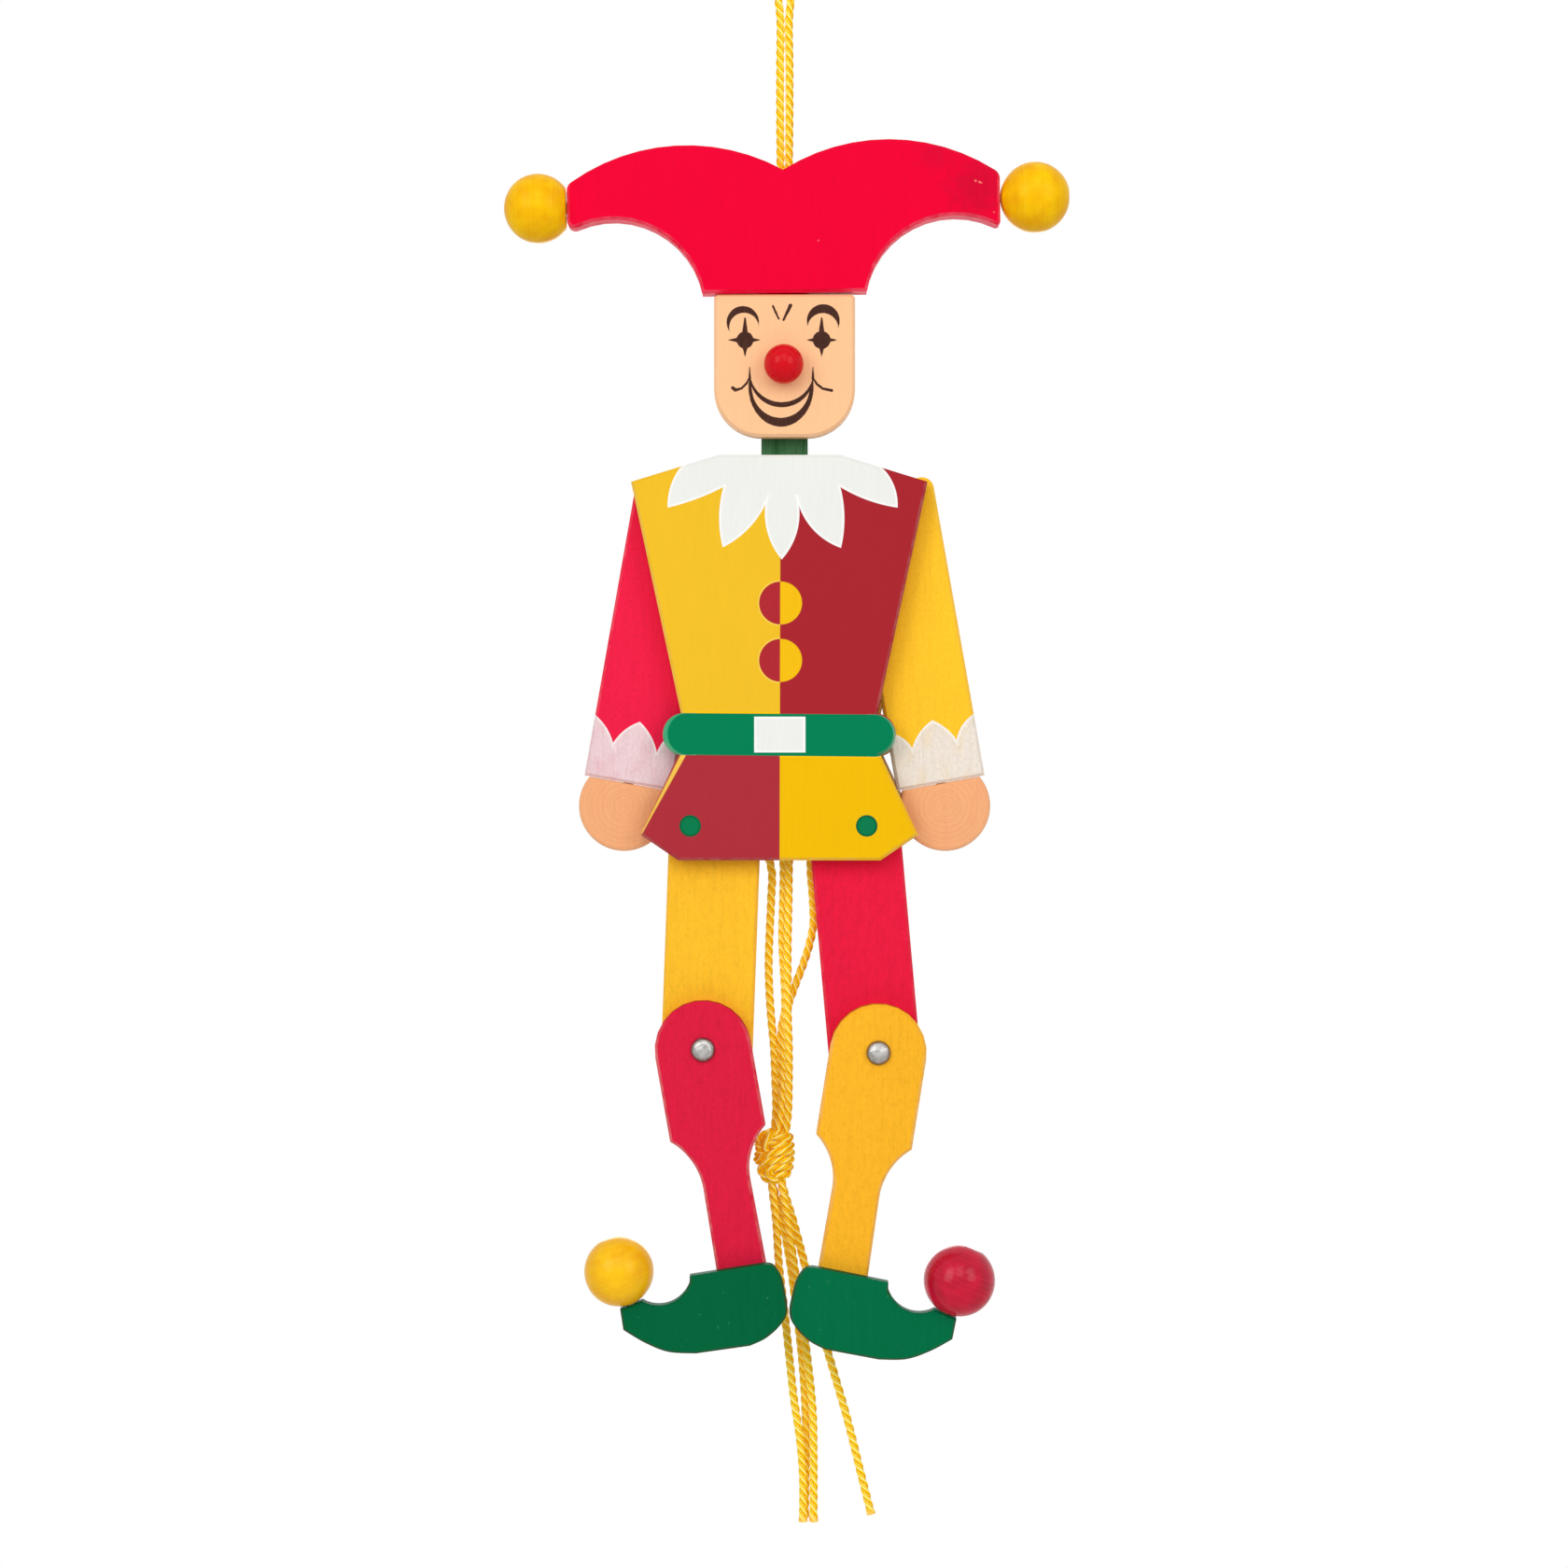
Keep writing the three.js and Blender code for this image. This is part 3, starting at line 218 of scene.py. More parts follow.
def spline(route, spacing):
    """Evenly spaced points on a centripetal Catmull-Rom curve through the route's points, which repeats at its ends."""
    p = np.vstack([2 * route[0] - route[1], route, 2 * route[-1] - route[-2]])
    knots = np.concatenate([[0], np.cumsum(np.linalg.norm(np.diff(p, axis=0), axis=1) ** 0.5)])
    fine = np.linspace(knots[1], knots[-2], len(route) * 60)
    k = np.clip(np.searchsorted(knots, fine, side="right") - 1, 1, len(route) - 1)
    t = [knots[k + o][:, None] for o in (-1, 0, 1, 2)]
    q = [p[k + o] for o in (-1, 0, 1, 2)]
    u = fine[:, None]
    a = [(t[n + 1] - u) / (t[n + 1] - t[n]) * q[n] + (u - t[n]) / (t[n + 1] - t[n]) * q[n + 1] for n in range(3)]
    b = [(t[n + 2] - u) / (t[n + 2] - t[n]) * a[n] + (u - t[n]) / (t[n + 2] - t[n]) * a[n + 1] for n in range(2)]
    curve = (t[2] - u) / (t[2] - t[1]) * b[0] + (u - t[1]) / (t[2] - t[1]) * b[1]
    run = np.concatenate([[0], np.cumsum(np.linalg.norm(np.diff(curve, axis=0), axis=1))])
    even = np.linspace(0, run[-1], max(8, int(run[-1] / spacing)))
    return np.stack([np.interp(even, run, curve[:, c]) for c in range(3)], -1), run[-1]


def laid_cord(path, length, across=(0, 1, 0), radius=CORD_RADIUS, sides=24, closed=False, lay=PLY_LENGTH,
              bare_end=False):
    """Three plies twisted together. At each point of the path the section is three circles that meet in the
    middle, on a core that fills the grooves between them: r = core + width cos f, in each ply's own angle f. It
    turns once in each lay length. A bare end opens out: there r goes over to a wavy tuft of fibre.
    Returns the surface's points and, for each, its place across its ply, its place along the cord and its fray."""
    tangent = np.gradient(path, axis=0) if not closed else np.roll(path, -1, 0) - np.roll(path, 1, 0)
    tangent /= np.linalg.norm(tangent, axis=1)[:, None]
    first = np.array(across, float) - tangent * (tangent @ np.array(across, float))[:, None]
    first /= np.linalg.norm(first, axis=1)[:, None]
    second = np.cross(tangent, first)
    angle = np.linspace(0, 2 * np.pi, sides, endpoint=False)[None, :]
    turns = length / lay
    if closed:
        turns = round(turns * PLY_COUNT) / PLY_COUNT
    twist = np.linspace(0, -2 * np.pi * turns, len(path), endpoint=not closed)[:, None]
    ply = (angle - twist) * PLY_COUNT % (2 * np.pi) / PLY_COUNT - np.pi / PLY_COUNT
    run = np.linspace(0, length, len(path))[:, None] + 0 * ply
    fray = np.clip((run - length + FRAY) / FRAY, 0, 1) if bare_end else 0 * ply
    tuft = TUFT + sum(depth * np.cos(count * angle + start) for count, depth, start in TUFT_WAVES)
    r = radius * ((CORE + PLY_WIDTH * np.cos(ply)) * (1 - fray) + tuft * fray)
    outward = np.cos(angle)[..., None] * first[:, None] + np.sin(angle)[..., None] * second[:, None]
    points = path[:, None] + r[..., None] * outward
    return points, {"ply": ply * PLY_COUNT / np.pi, "run": run * 1000, "fray": fray}


gold_cord = Finish("gold_cord", roughness=0.5, shine=0.0, Emission_Strength=CORD_PAINTED_GLOW).place()
ply = gold_cord.node("ShaderNodeAttribute", {"attribute_name": "ply"}, output=2)
run = gold_cord.node("ShaderNodeAttribute", {"attribute_name": "run"}, output=2)
fibre_place = gold_cord.node("ShaderNodeCombineXYZ", None, {0: ply * 3.0, 1: run * 0.35, 2: 0.0})
fibres = gold_cord.noise(1.6, 3.0, source=fibre_place)
from_crest = abs(ply + 0.15) + (fibres - 0.5) * 0.3
shade = gold_cord.mix((from_crest * 5.0 - 0.25).held(), CORD_CREST_HIGHLIGHT, CORD_BODY)      # a narrow painted highlight, a little to one side of each ply's crest
# painted shade: the grooves between the plies are darker
shade = gold_cord.mix((from_crest * 2.6 - 1.0).held(), shade, CORD_GROOVE_SHADE)
fray = gold_cord.node("ShaderNodeAttribute", {"attribute_name": "fray"}, output=2)
shade = gold_cord.mix(fray * (fibres * 2.0 + 0.2).held() * 0.85, shade, CORD_FRAYED)
# The cord's colour also glows faintly, as a painted light.
gold_cord.feed(Base_Color=shade, Emission_Color=shade)
gold_cord.relief(fibres, 0.00005)

# Points along each cord in millimetres: right, back and up.
CORD_ROUTES = {
    "pull_string_arm_left": [
        (-22.366, 2.8, -150.685), (-20.4, 2.8, -160), (-15.2, 2.6, -175), (-9, 2.3, -191), (-3.6, 2.0, -206),
        (-1.1, 2.0, -219), (-0.25, 2.1, -232), (-0.35, 2.2, -240), (-0.6, 2.25, -250), (-0.35, 2.3, -256),
        (0.1, 2.3, -264), (0.1, 2.2, -273), (0.05, 2.1, -279), (-0.1, 1.9, -286), (-0.9, 1.65, -294),
        (-3.2, 1.55, -304.3)],
    "pull_string_arm_right": [
        (22.366, 2.8, -150.685), (20.4, 2.8, -160), (15.2, 2.6, -175), (9, 2.3, -191), (4.0, 1.7, -206),
        (1.9, 1.3, -219), (1.1, 1.0, -232), (1.0, 0.9, -240), (0.8, 0.85, -250), (0.75, 0.85, -256),
        (0.8, 0.9, -264), (0.85, 1.0, -271), (1.05, 1.05, -277), (1.05, 1.15, -286), (0.75, 1.4, -295),
        (-0.75, 1.55, -304.3)],
    "pull_string_thigh_left": [
        (-9.4, 3.1, -216.5), (-9.4, 3.0, -219.3), (-8.9, 2.9, -222), (-6.2, 3.2, -225), (-3.3, 3.7, -233),
        (-3.35, 4.05, -240), (-3.8, 4.05, -250), (-4.0, 4.05, -257), (-3.8, 4.05, -264), (-3.3, 4.05, -271),
        (-2.7, 4.05, -277.5), (-2.35, 4.05, -285), (-2.15, 4.05, -294), (-3.2, 4.05, -304.3)],
    "pull_string_thigh_right": [
        (9.2, 3.1, -216.9), (9.2, 3.0, -219.7), (8.7, 2.9, -222.4), (7, 3.2, -225.4), (6.5, 3.7, -232),
        (7.1, 4.05, -241), (7.2, 4.05, -247), (6.2, 4.05, -252), (4.6, 4.05, -257), (2.9, 4.05, -261.5),
        (1.1, 4.05, -266.5), (-0.4, 4.05, -271), (-1.0, 4.05, -276), (-1.1, 4.05, -282), (-1.0, 4.05, -290),
        (-0.75, 4.05, -304.3)],
    "cord_tail_1": [
        (-3.2, 1.55, -304.6), (-3.2, 1.55, -311), (-2.1, 1.5, -321), (-1.4, 1.5, -332), (-0.2, 1.5, -342),
        (1.1, 1.5, -354), (2.3, 1.5, -365), (3.9, 1.5, -376), (4.6, 1.5, -385), (4.6, 1.5, -396)],
    "cord_tail_2": [
        (-3.2, 4.05, -304.6), (-3.2, 4.05, -311), (-0.6, 4.05, -321), (1.4, 4.05, -332), (2.9, 4, -343),
        (4.4, 3.9, -356), (5.2, 3.85, -368), (5.4, 3.85, -378), (5.1, 3.85, -395.5)],
    "cord_tail_3": [
        (-0.75, 1.55, -304.6), (-0.75, 1.55, -311), (0.9, 1.5, -321), (2.4, 1.5, -332), (4.1, 1.5, -343),
        (5.8, 1.5, -356), (7, 1.5, -368), (7.25, 1.5, -378), (7.25, 1.5, -396)],
    "cord_tail_4": [
        (-0.75, 4.05, -304.6), (-0.75, 4.05, -311), (2.1, 4.05, -321), (5, 4.05, -332), (8.2, 3.9, -345),
        (12.3, 3.7, -359), (15.9, 3.6, -371.5), (19, 3.6, -384), (21.7, 3.6, -394.7)],
    "hanging_cord": [
        (-1.0, 0, -78), (-1.0, 0, -60), (-1.1, 0, -44), (-1.1, 0, -32), (-1.1, 0, -20), (-2.1, 0, -13),
        (-3.5, 0, -8), (-4.3, 0, -3.8), (-3.1, 0, -0.2), (0, 0, 1), (3.1, 0, -0.2), (4.3, 0, -3.8),
        (3.5, 0, -8), (2.1, 0, -13), (1.15, 0, -20), (1.2, 0, -32), (1.2, 0, -44), (1.05, 0, -60),
        (1.05, 0, -78)],
}


def cord_piece(name, route, body, replaces, **facts):
    """One laid cord along a route in millimetres."""
    path, length = spline(np.array(route) / 1000, POINT_SPACING)
    points, fields = laid_cord(path, length, bare_end=facts["far_end"] == "bare")
    made = piece(name, points, gold_cord, body, replaces=replaces, fields=fields)


# All strings are tied together in one knot below the thighs, where the tails begin.
# The strands turn back through one another: steep turns at the upper and lower left, and a band across the front.
KNOT_CENTRE = (-0.0026, 0.0028, -0.3047)
KNOT_TURNS = [               # right, back and up from the knot's middle, in millimetres
    [(2.5, 2.4, 4.6), (3.8, 0.3, 4.6), (3.0, -2.5, 4.6), (0.9, -3.1, 4.9), (-1.2, -2.4, 5.1), (-3.0, -0.8, 4.6),
     (-3.3, 1.4, 3.3), (-1.0, 2.8, 2.6)],
    [(2.6, 2.2, 2.4), (4.1, -0.4, 2.7), (2.7, -3.2, 3.0), (0.3, -3.8, 3.1), (-1.6, -3.0, 3.6), (-2.6, -1.0, 4.2)],
    [(-1.9, -2.6, 0.7), (-3.5, -2.6, 1.8), (-3.9, -1.9, 3.5), (-2.8, -1.5, 5.1), (-0.8, 0.3, 5.8), (1.6, 2.0, 5.0)],
    [(-1.0, -3.0, 1.0), (-2.2, -3.6, 2.6), (-1.7, -3.6, 4.5), (0.2, -2.5, 5.8), (2.2, -0.6, 5.6), (3.0, 1.5, 4.6)],
    [(-4.1, 0.6, 0.0), (-2.9, -2.9, 0.2), (-0.2, -4.3, 1.3), (2.8, -3.4, 1.5), (4.2, -0.2, 0.9), (2.6, 2.6, 1.0),
     (-0.4, 3.3, 0.7), (-3.2, 2.3, -0.4), (-4.2, -0.3, -0.9), (-2.8, -3.4, -1.1), (0.1, -4.1, -0.6),
     (2.9, -3.3, -0.5), (4.1, -0.3, -0.9), (2.0, 2.8, -1.0)],
    [(1.8, 2.6, -2.4), (3.8, 0.4, -2.7), (3.1, -2.6, -2.4), (0.8, -3.7, -2.5), (-1.5, -3.2, -2.9),
     (-3.0, -1.8, -2.4)],
    [(-2.9, -2.4, -1.6), (-3.3, -2.3, -3.0), (-2.6, -2.4, -4.6), (-1.6, -1.4, -5.7), (-0.4, 0.8, -5.6),
     (0.6, 2.0, -4.8)],
    [(-1.2, -3.4, -2.4), (-1.2, -3.4, -4.0), (-0.3, -2.8, -5.4), (0.8, -1.6, -5.8), (1.8, 0.4, -5.2)],
    [(3.1, 1.5, -4.0), (3.3, -1.2, -4.4), (1.9, -2.8, -4.4), (0.2, -2.8, -4.5)],
]
knot_strands = []
for number, turns in enumerate(KNOT_TURNS, 1):
    path, length = spline(np.array(turns) / 1000 + np.array(KNOT_CENTRE), KNOT_SPACING)
    points, fields = laid_cord(path, length, across=(0, 0.3, 1))
    knot_strands.append(piece(f"knot_turn_{number}", points, gold_cord, "pull_cord",
                              replaces=("pull_knot",) if number == 1 else (), fields=fields))

for name, route in CORD_ROUTES.items():
    if name == "hanging_cord":
        cord_piece(name + "_laid", route, "torso", (name,), far_end="object", lay="taut")
    elif name.startswith("cord_tail"):
        cord_piece(name + "_laid", route, "pull_cord", (name,), far_end="bare", lay="hanging")
    else:
        held = tuple(knot_strands) if name == "pull_string_arm_left" else ()
        cord_piece(name + "_laid", route, "pull_cord", (name,), far_end="knot", lay="hanging", with_pieces=held)


# Each string is tied to its limb's lever with a small overhand knot, hidden behind the front board.
# It is the cord's own loop through itself, drawn tight: (sin t + 2 sin 2t, -1.6 sin 3t, cos t - 2 cos 2t).
OVERHAND_SIZE = 0.00044
TIGHT_RADIUS, TIGHT_LAY = 0.00062, 0.004
turn = np.linspace(0, 2 * np.pi, 120, endpoint=False)
overhand = OVERHAND_SIZE * np.stack(
    [np.sin(turn) + 2 * np.sin(2 * turn), -1.6 * np.sin(3 * turn), np.cos(turn) - 2 * np.cos(2 * turn)], -1)
for limb in ("arm", "thigh"):
    for side in ("left", "right"):
        name = f"{limb}_string_knot_{side}"
        low, high = (np.array(corner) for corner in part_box(name))
        loop = overhand + (low + high) / 2
        length = np.linalg.norm(loop - np.roll(loop, 1, 0), axis=1).sum()
        points, fields = laid_cord(loop, length, across=(0, 1, 0.2), radius=TIGHT_RADIUS, sides=18, closed=True,
                                   lay=TIGHT_LAY)
        piece(name + "_tied", points, gold_cord, f"{limb}_assembly_{side}", along=True,
              replaces=(name,), fields=fields)


# The body is two thin boards with the limbs between them. The front one is painted as a quartered doublet
# with a scalloped white collar, two buttons and a buckled green belt; the back one is left bare.
# Places on a board are given as x and z in millimetres, and colours as six hexadecimal digits.
YELLOW_LEFT, YELLOW_RIGHT = "F0BE28", "F1BB06"
DARK_RED_RIGHT, DARK_RED_LEFT = "A9262F", "AD2F3A"
BELT_GREEN, BELT_HIGHLIGHT = "007F52", "3FA878"
COLLAR_WHITE, COLLAR_RIM = "EBECE7", "F7F7F4"
BUCKLE_GREY, BUCKLE_RIM = "ECECE8", "FAFAF6"
LINE_YELLOW, BARE_LIGHT, BARE_DARK = "FFC400", "E3C193", "C79D66"
BUTTONS, BUTTON_RADIUS, BUTTON_LINE = ((-0.99, -167.1), (-0.99, -181.2)), 5.28, 0.35
SKIRT_SPOTS, SPOT_RADIUS, SPOT_RIM = ((-23.2, -221.9), (20.2, -221.9)), 2.2, 0.46
SEAM_X, SEAM_LEAN, SEAM_HEIGHT = -1.1125, 0.002275, -180.0      # between the halves: its x at the given height
WAIST_Z, WAIST_SLOPE, EDGE_BLUR = -199.5625, -0.0109, 0.125      # between the upper and the lower colours
BELT = ((-25.08, -199.30), (22.11, -199.71), 5.14, 5.20)        # its two ends, and half its height at each
BELT_LINE, BUCKLE, RIM = 0.42, (-1.17, -199.45, 6.3, 4.4), 0.5
SHINE_LEFT, SHINE_RIGHT = (-23.6, -199.3, 5.2), (21.6, -199.7, 5.25)     # the belt's ends carry a painted highlight outside these discs,
SHINE_TO, SHINE_FROM = -22.0, 20.5                              # the left one up to here and the right one from here
RUBBED_LINE = ((-25.0, -204.6), (-35.2, -223.8), 0.62, 0.16)
INNER_SIDE = -5.3            # the y behind which the board has no paint
COLLAR_BARS = ((-0.5, -130.5, 24.0, 8.0), (-0.5, -136.0, 11.5, 5.0))
COLLAR_PETALS = [            # each is where two discs overlap: their x, z and radius
    ((-42.36, -85.76, 59.46), (-13.33, -143.08, 15.43)), ((13.22, -146.29, 29.30), (-25.47, -132.72, 23.10)),
    ((12.96, -144.99, 17.80), (-13.17, -145.07, 16.83)), ((19.37, -137.72, 16.75), (-16.20, -146.36, 30.91)),
    ((33.09, -106.78, 37.24), (14.96, -142.93, 12.85))]
RUBBED_WOOD = (1.0, 0.86, 0.72)
WELD, BOARD_CREASE = 0.000002, 30       # points of a CAD board nearer than this are one, and its crease in degrees


def paint(code):
    """A paint's colour from its six-digit code, made linear: ((c + 0.055) / 1.055) ^ 2.4, or c / 12.92 near black."""
    c = np.array([int(code[i:i + 2], 16) / 255 for i in (0, 2, 4)])
    return tuple(np.where(c > 0.04045, ((c + 0.055) / 1.055) ** 2.4, c / 12.92).tolist())


def distance(finish, first, second):
    """How far two points are apart."""
    return finish.node("ShaderNodeVectorMath", {"operation": "DISTANCE"}, {0: first, 1: second}, output=1)


def disc(finish, x, z, radius):
    """Signed distance to a circle on the board: the distance to its centre less its radius."""
    return distance(finish, finish.flat, (x, 0, z)) - radius


def lens(finish, first, second):
    """Where two discs overlap: the greater of the two distances."""
    return disc(finish, *first).high(disc(finish, *second))


def bar(finish, x, z, half_width, half_height):
    """Signed distance to an upright rectangle: the greater of the two offsets less its halves."""
    return (abs(finish.x - x) - half_width).high(abs(finish.z - z) - half_height)


def stroke(finish, start, end, start_radius, end_radius):
    """Signed distance to a brush stroke between two points, whose half-width goes from one radius to the other."""
    a, b = np.array((start[0], 0, start[1])), np.array((end[0], 0, end[1]))
    run = b - a
    offset = finish.node("ShaderNodeVectorMath", {"operation": "SUBTRACT"}, {0: finish.flat, 1: tuple(a)})
    share = finish.node("ShaderNodeVectorMath", {"operation": "DOT_PRODUCT"},
                        {0: offset, 1: tuple(run / (run @ run))}, output=1).held()
    along = finish.node("ShaderNodeVectorMath", {"operation": "SCALE"}, {0: tuple(run), 3: share})
    return distance(finish, offset, along) - (share * (end_radius - start_radius) + start_radius)


def painted(finish, colour, grain_amount=0.10, wear=0.1, edge_colour=None, depth=0.00004, speckle=0.0, top_shade=0.7):
    """Paint on wood: the grain shows through as fine upright streaks, cloudy brushing changes the tone a little,
    and thin paint is speckled. Where the board's own normal turns away from the front, at its eased edges, a
    painted shade darkens the edges that face up, and the others are rubbed lighter."""
    grain = finish.noise(1.4, 3.0, stretch=(1, 1, 16))
    cloud = finish.noise(0.06, 2.0, stretch=(1, 1, 2.5), shift=(7, 3, 1))
    tone = (0.5 - grain) * 3.0 + (0.5 - cloud) * 1.5
    tone = tone * grain_amount + 1.0
    if speckle:
        tone = tone + (0.5 - finish.noise(1.9, 3.0, stretch=(1, 1, 1.7), shift=(6, 1, 7))) * speckle
    shade = finish.scaled(colour, tone)
    _, ahead, rise = finish.parts(finish.node("ShaderNodeTexCoord", output=1))
    facing, upward = abs(ahead), (rise * 2.0).held()
    edge = ((0.97 - facing) * 9.0).held()
    scuff = ((finish.noise(0.35, 2.0, shift=(3, 1, 9)) - 0.25) * 2.5).held()
    rubbed = edge * scuff * (1.0 - upward) * wear
    shade = finish.mix(rubbed, shade, paint(edge_colour) if edge_colour else RUBBED_WOOD)
    # painted shade: the eased edges that face up are darkened
    shade = finish.mix(((0.6 - facing) * 6.0).held() * upward * top_shade, shade, finish.scaled(shade, 0.35))
    finish.feed(Base_Color=shade)
    finish.relief(grain, depth)


def dress(node, finish):
    """Gives a CAD node its finish."""
    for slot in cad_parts[node].material_slots:
        slot.material = finish.material


def painted_board(node, finish, body):
    """A merged copy of a CAD board, whose curved sides and slopes are shaded smooth along their length."""
    mesh = bpy.data.meshes.new(node + "_board")
    shell = bmesh.new()
    shell.from_mesh(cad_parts[node].data)
    bmesh.ops.remove_doubles(shell, verts=shell.verts, dist=WELD)
    shell.to_mesh(mesh)
    shell.free()
    mesh.materials.clear()
    mesh.materials.append(finish.material)
    crease(mesh, BOARD_CREASE)
    made = bpy.data.objects.new(node + "_board", mesh)
    bpy.context.scene.collection.objects.link(made)
    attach(made, body)
    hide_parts(node)


doublet = Finish("doublet", roughness=0.5).place()
x, z = doublet.x, doublet.z
right = ((z - SEAM_HEIGHT) * SEAM_LEAN + SEAM_X - x).inside(EDGE_BLUR)
below = (z - x * WAIST_SLOPE - WAIST_Z).inside(EDGE_BLUR)
upper = doublet.mix(right, paint(YELLOW_LEFT), paint(DARK_RED_RIGHT))
lower = doublet.mix(right, paint(DARK_RED_LEFT), paint(YELLOW_RIGHT))
shade = doublet.mix(below, upper, lower)
for centre in BUTTONS:
    outline = disc(doublet, *centre, BUTTON_RADIUS + BUTTON_LINE)
    halves = doublet.mix(right, paint("B02A33"), paint("F4BE12"))
    shade = doublet.mix(outline.inside() * (1.0 - right), shade, paint("F7CF52"))
    shade = doublet.mix(disc(doublet, *centre, BUTTON_RADIUS).inside(), shade, halves)
for centre in SKIRT_SPOTS:
    shade = doublet.mix(disc(doublet, *centre, SPOT_RADIUS + SPOT_RIM).inside(), shade, paint("00603A"))
    shade = doublet.mix(disc(doublet, *centre, SPOT_RADIUS).inside(0.5), shade, paint("0A7A4C"))
shade = doublet.mix(stroke(doublet, *RUBBED_LINE).inside(0.2), shade, paint("F2C24E"))
belt = stroke(doublet, *BELT)
shade = doublet.mix((belt - BELT_LINE).inside() * (1.0 - abs(below - right)), shade, paint(LINE_YELLOW))
shade = doublet.mix(belt.inside(), shade, paint(BELT_GREEN))
# painted highlight: a lighter crescent at each end of the belt
highlight_crescent = belt.high(-disc(doublet, *SHINE_LEFT)).high(x - SHINE_TO)
shade = doublet.mix(highlight_crescent.inside(0.3), shade, paint(BELT_HIGHLIGHT))
highlight_crescent = belt.high(-disc(doublet, *SHINE_RIGHT)).high(SHINE_FROM - x)
shade = doublet.mix(highlight_crescent.inside(0.3) * 0.6, shade, paint("6FBFA0"))
buckle = bar(doublet, *BUCKLE)
shade = doublet.mix(buckle.inside(), shade, paint(BUCKLE_RIM))
shade = doublet.mix((buckle + RIM).inside(0.3), shade, paint(BUCKLE_GREY))
collar = bar(doublet, *COLLAR_BARS[0]).low(bar(doublet, *COLLAR_BARS[1]))
for first, second in COLLAR_PETALS:
    collar = collar.low(lens(doublet, first, second))
shade = doublet.mix(collar.inside(), shade, paint(COLLAR_RIM))
shade = doublet.mix((collar + RIM).inside(0.4), shade, paint(COLLAR_WHITE))
shade = doublet.mix((doublet.y - INNER_SIDE).inside(0.2), paint(BARE_LIGHT), shade)
painted(doublet, shade, grain_amount=0.03, depth=0.00001)
painted_board("torso_front_board", doublet, "torso")

bare_wood = Finish("bare_wood", roughness=0.7).place()
rings = bare_wood.noise(0.5, 3.0, stretch=(1, 1, 18))
pores = bare_wood.noise(2.5, 2.0, stretch=(1, 1, 20), shift=(3, 5, 2))
shade = bare_wood.mix(rings.held(), paint(BARE_LIGHT), paint(BARE_DARK))
shade = bare_wood.mix(((pores - 0.56) * 5.0).held() * 0.4, shade, paint("9A6E3F"))
bare_wood.feed(Base_Color=shade)
bare_wood.relief(pores, 0.00006)
painted_board("torso_back_board", bare_wood, "torso")
dress("nose_pin", bare_wood)
for side in ("left", "right"):
    for peg in ("shoulder_dowel", "hip_dowel", "hat_pin", "hand_pin", "toe_pin"):
        dress(f"{peg}_{side}", bare_wood)


# The neck is the top of one upright strip that runs from behind the hat down between the body boards.
# It is stained green, so its grain stays strong.
neck_green = Finish("neck_green", roughness=0.55).place()
grain = neck_green.noise(1.5, 3.0, stretch=(1, 1, 22))
shade = neck_green.mix(((grain - 0.35) * 3.2).held(), paint("2E5E37"), paint("4B7A50"))
shade = neck_green.mix(((grain - 0.62) * 6.0).held(), shade, paint("1E4A2B"))
neck_green.feed(Base_Color=shade)
neck_green.relief(grain, 0.0001)
painted_board("neck_spine", neck_green, "torso")


# The face is a flesh-coloured board, square at the top and round at the chin, with its features brushed on in brown.
# Brows are crescents, the eyes are dots with four thin points, and the mouth is two crescents between cheek lines.
# A line is its two ends, and half its width at each.
FLESH, FEATURE_BROWN = "FCC594", "452A22"
BROWS = [((-10.26, -98.06, 3.93), (-9.98, -99.38, 3.67)), ((9.52, -97.67, 4.00), (9.40, -99.60, 3.81))]
# Each eye: its x, z, pupil radius, and the reach of its left and right points.
EYES = [(-9.73, -102.44, 2.05, 4.0, 3.6), (9.11, -102.44, 2.16, 3.5, 3.6)]
SPIKE_UP, SPIKE_DOWN, SPIKE_ROOT = 5.35, 3.85, 0.4       # a spike starts at this share of its reach, in the pupil
UPPER_LIP, LOWER_LIP, MOUTH_TOP = (-0.71, -109.83, 7.92), (-0.71, -111.03, 7.91), -109.2
JAW, GAP = (-0.87, -114.0, 7.95, 9.7), (-0.95, -113.9, 7.15, 7.7)      # ovals: x, z, half-width and half-height
BROW_LINES = [((-2.87, -94.13), (-1.45, -97.19), 0.24, 0.20), ((1.45, -93.95), (-0.25, -97.5), 0.42, 0.22)]
FACE_FRONT = -9.0            # nothing is brushed on behind this y
MOUTH_CORNERS = [((-8.55, -112.0), (-8.62, -109.1), 0.3, 0.05), ((6.98, -112.0), (6.98, -109.1), 0.3, 0.05)]
CHEEK_LINES = [
    ((-8.60, -111.6), (-9.3, -113.05), 0.16, 0.24), ((-9.3, -113.05), (-10.6, -114.35), 0.24, 0.24),
    ((-10.6, -114.35), (-12.1, -114.75), 0.24, 0.33), ((-12.1, -114.7), (-12.75, -114.2), 0.42, 0.36),
    ((7.10, -112.0), (8.0, -113.35), 0.16, 0.26), ((8.0, -113.35), (9.4, -114.4), 0.26, 0.26),
    ((9.4, -114.4), (11.6, -114.85), 0.26, 0.33)]


def oval(finish, x, z, half_width, half_height):
    """Distance to an oval, nearly: its level, sqrt((x/a)^2 + (z/b)^2) - 1, times its lesser half."""
    level = (((finish.x - x) / half_width) ** 2.0 + ((finish.z - z) / half_height) ** 2.0) ** 0.5
    return (level - 1.0) * min(half_width, half_height)


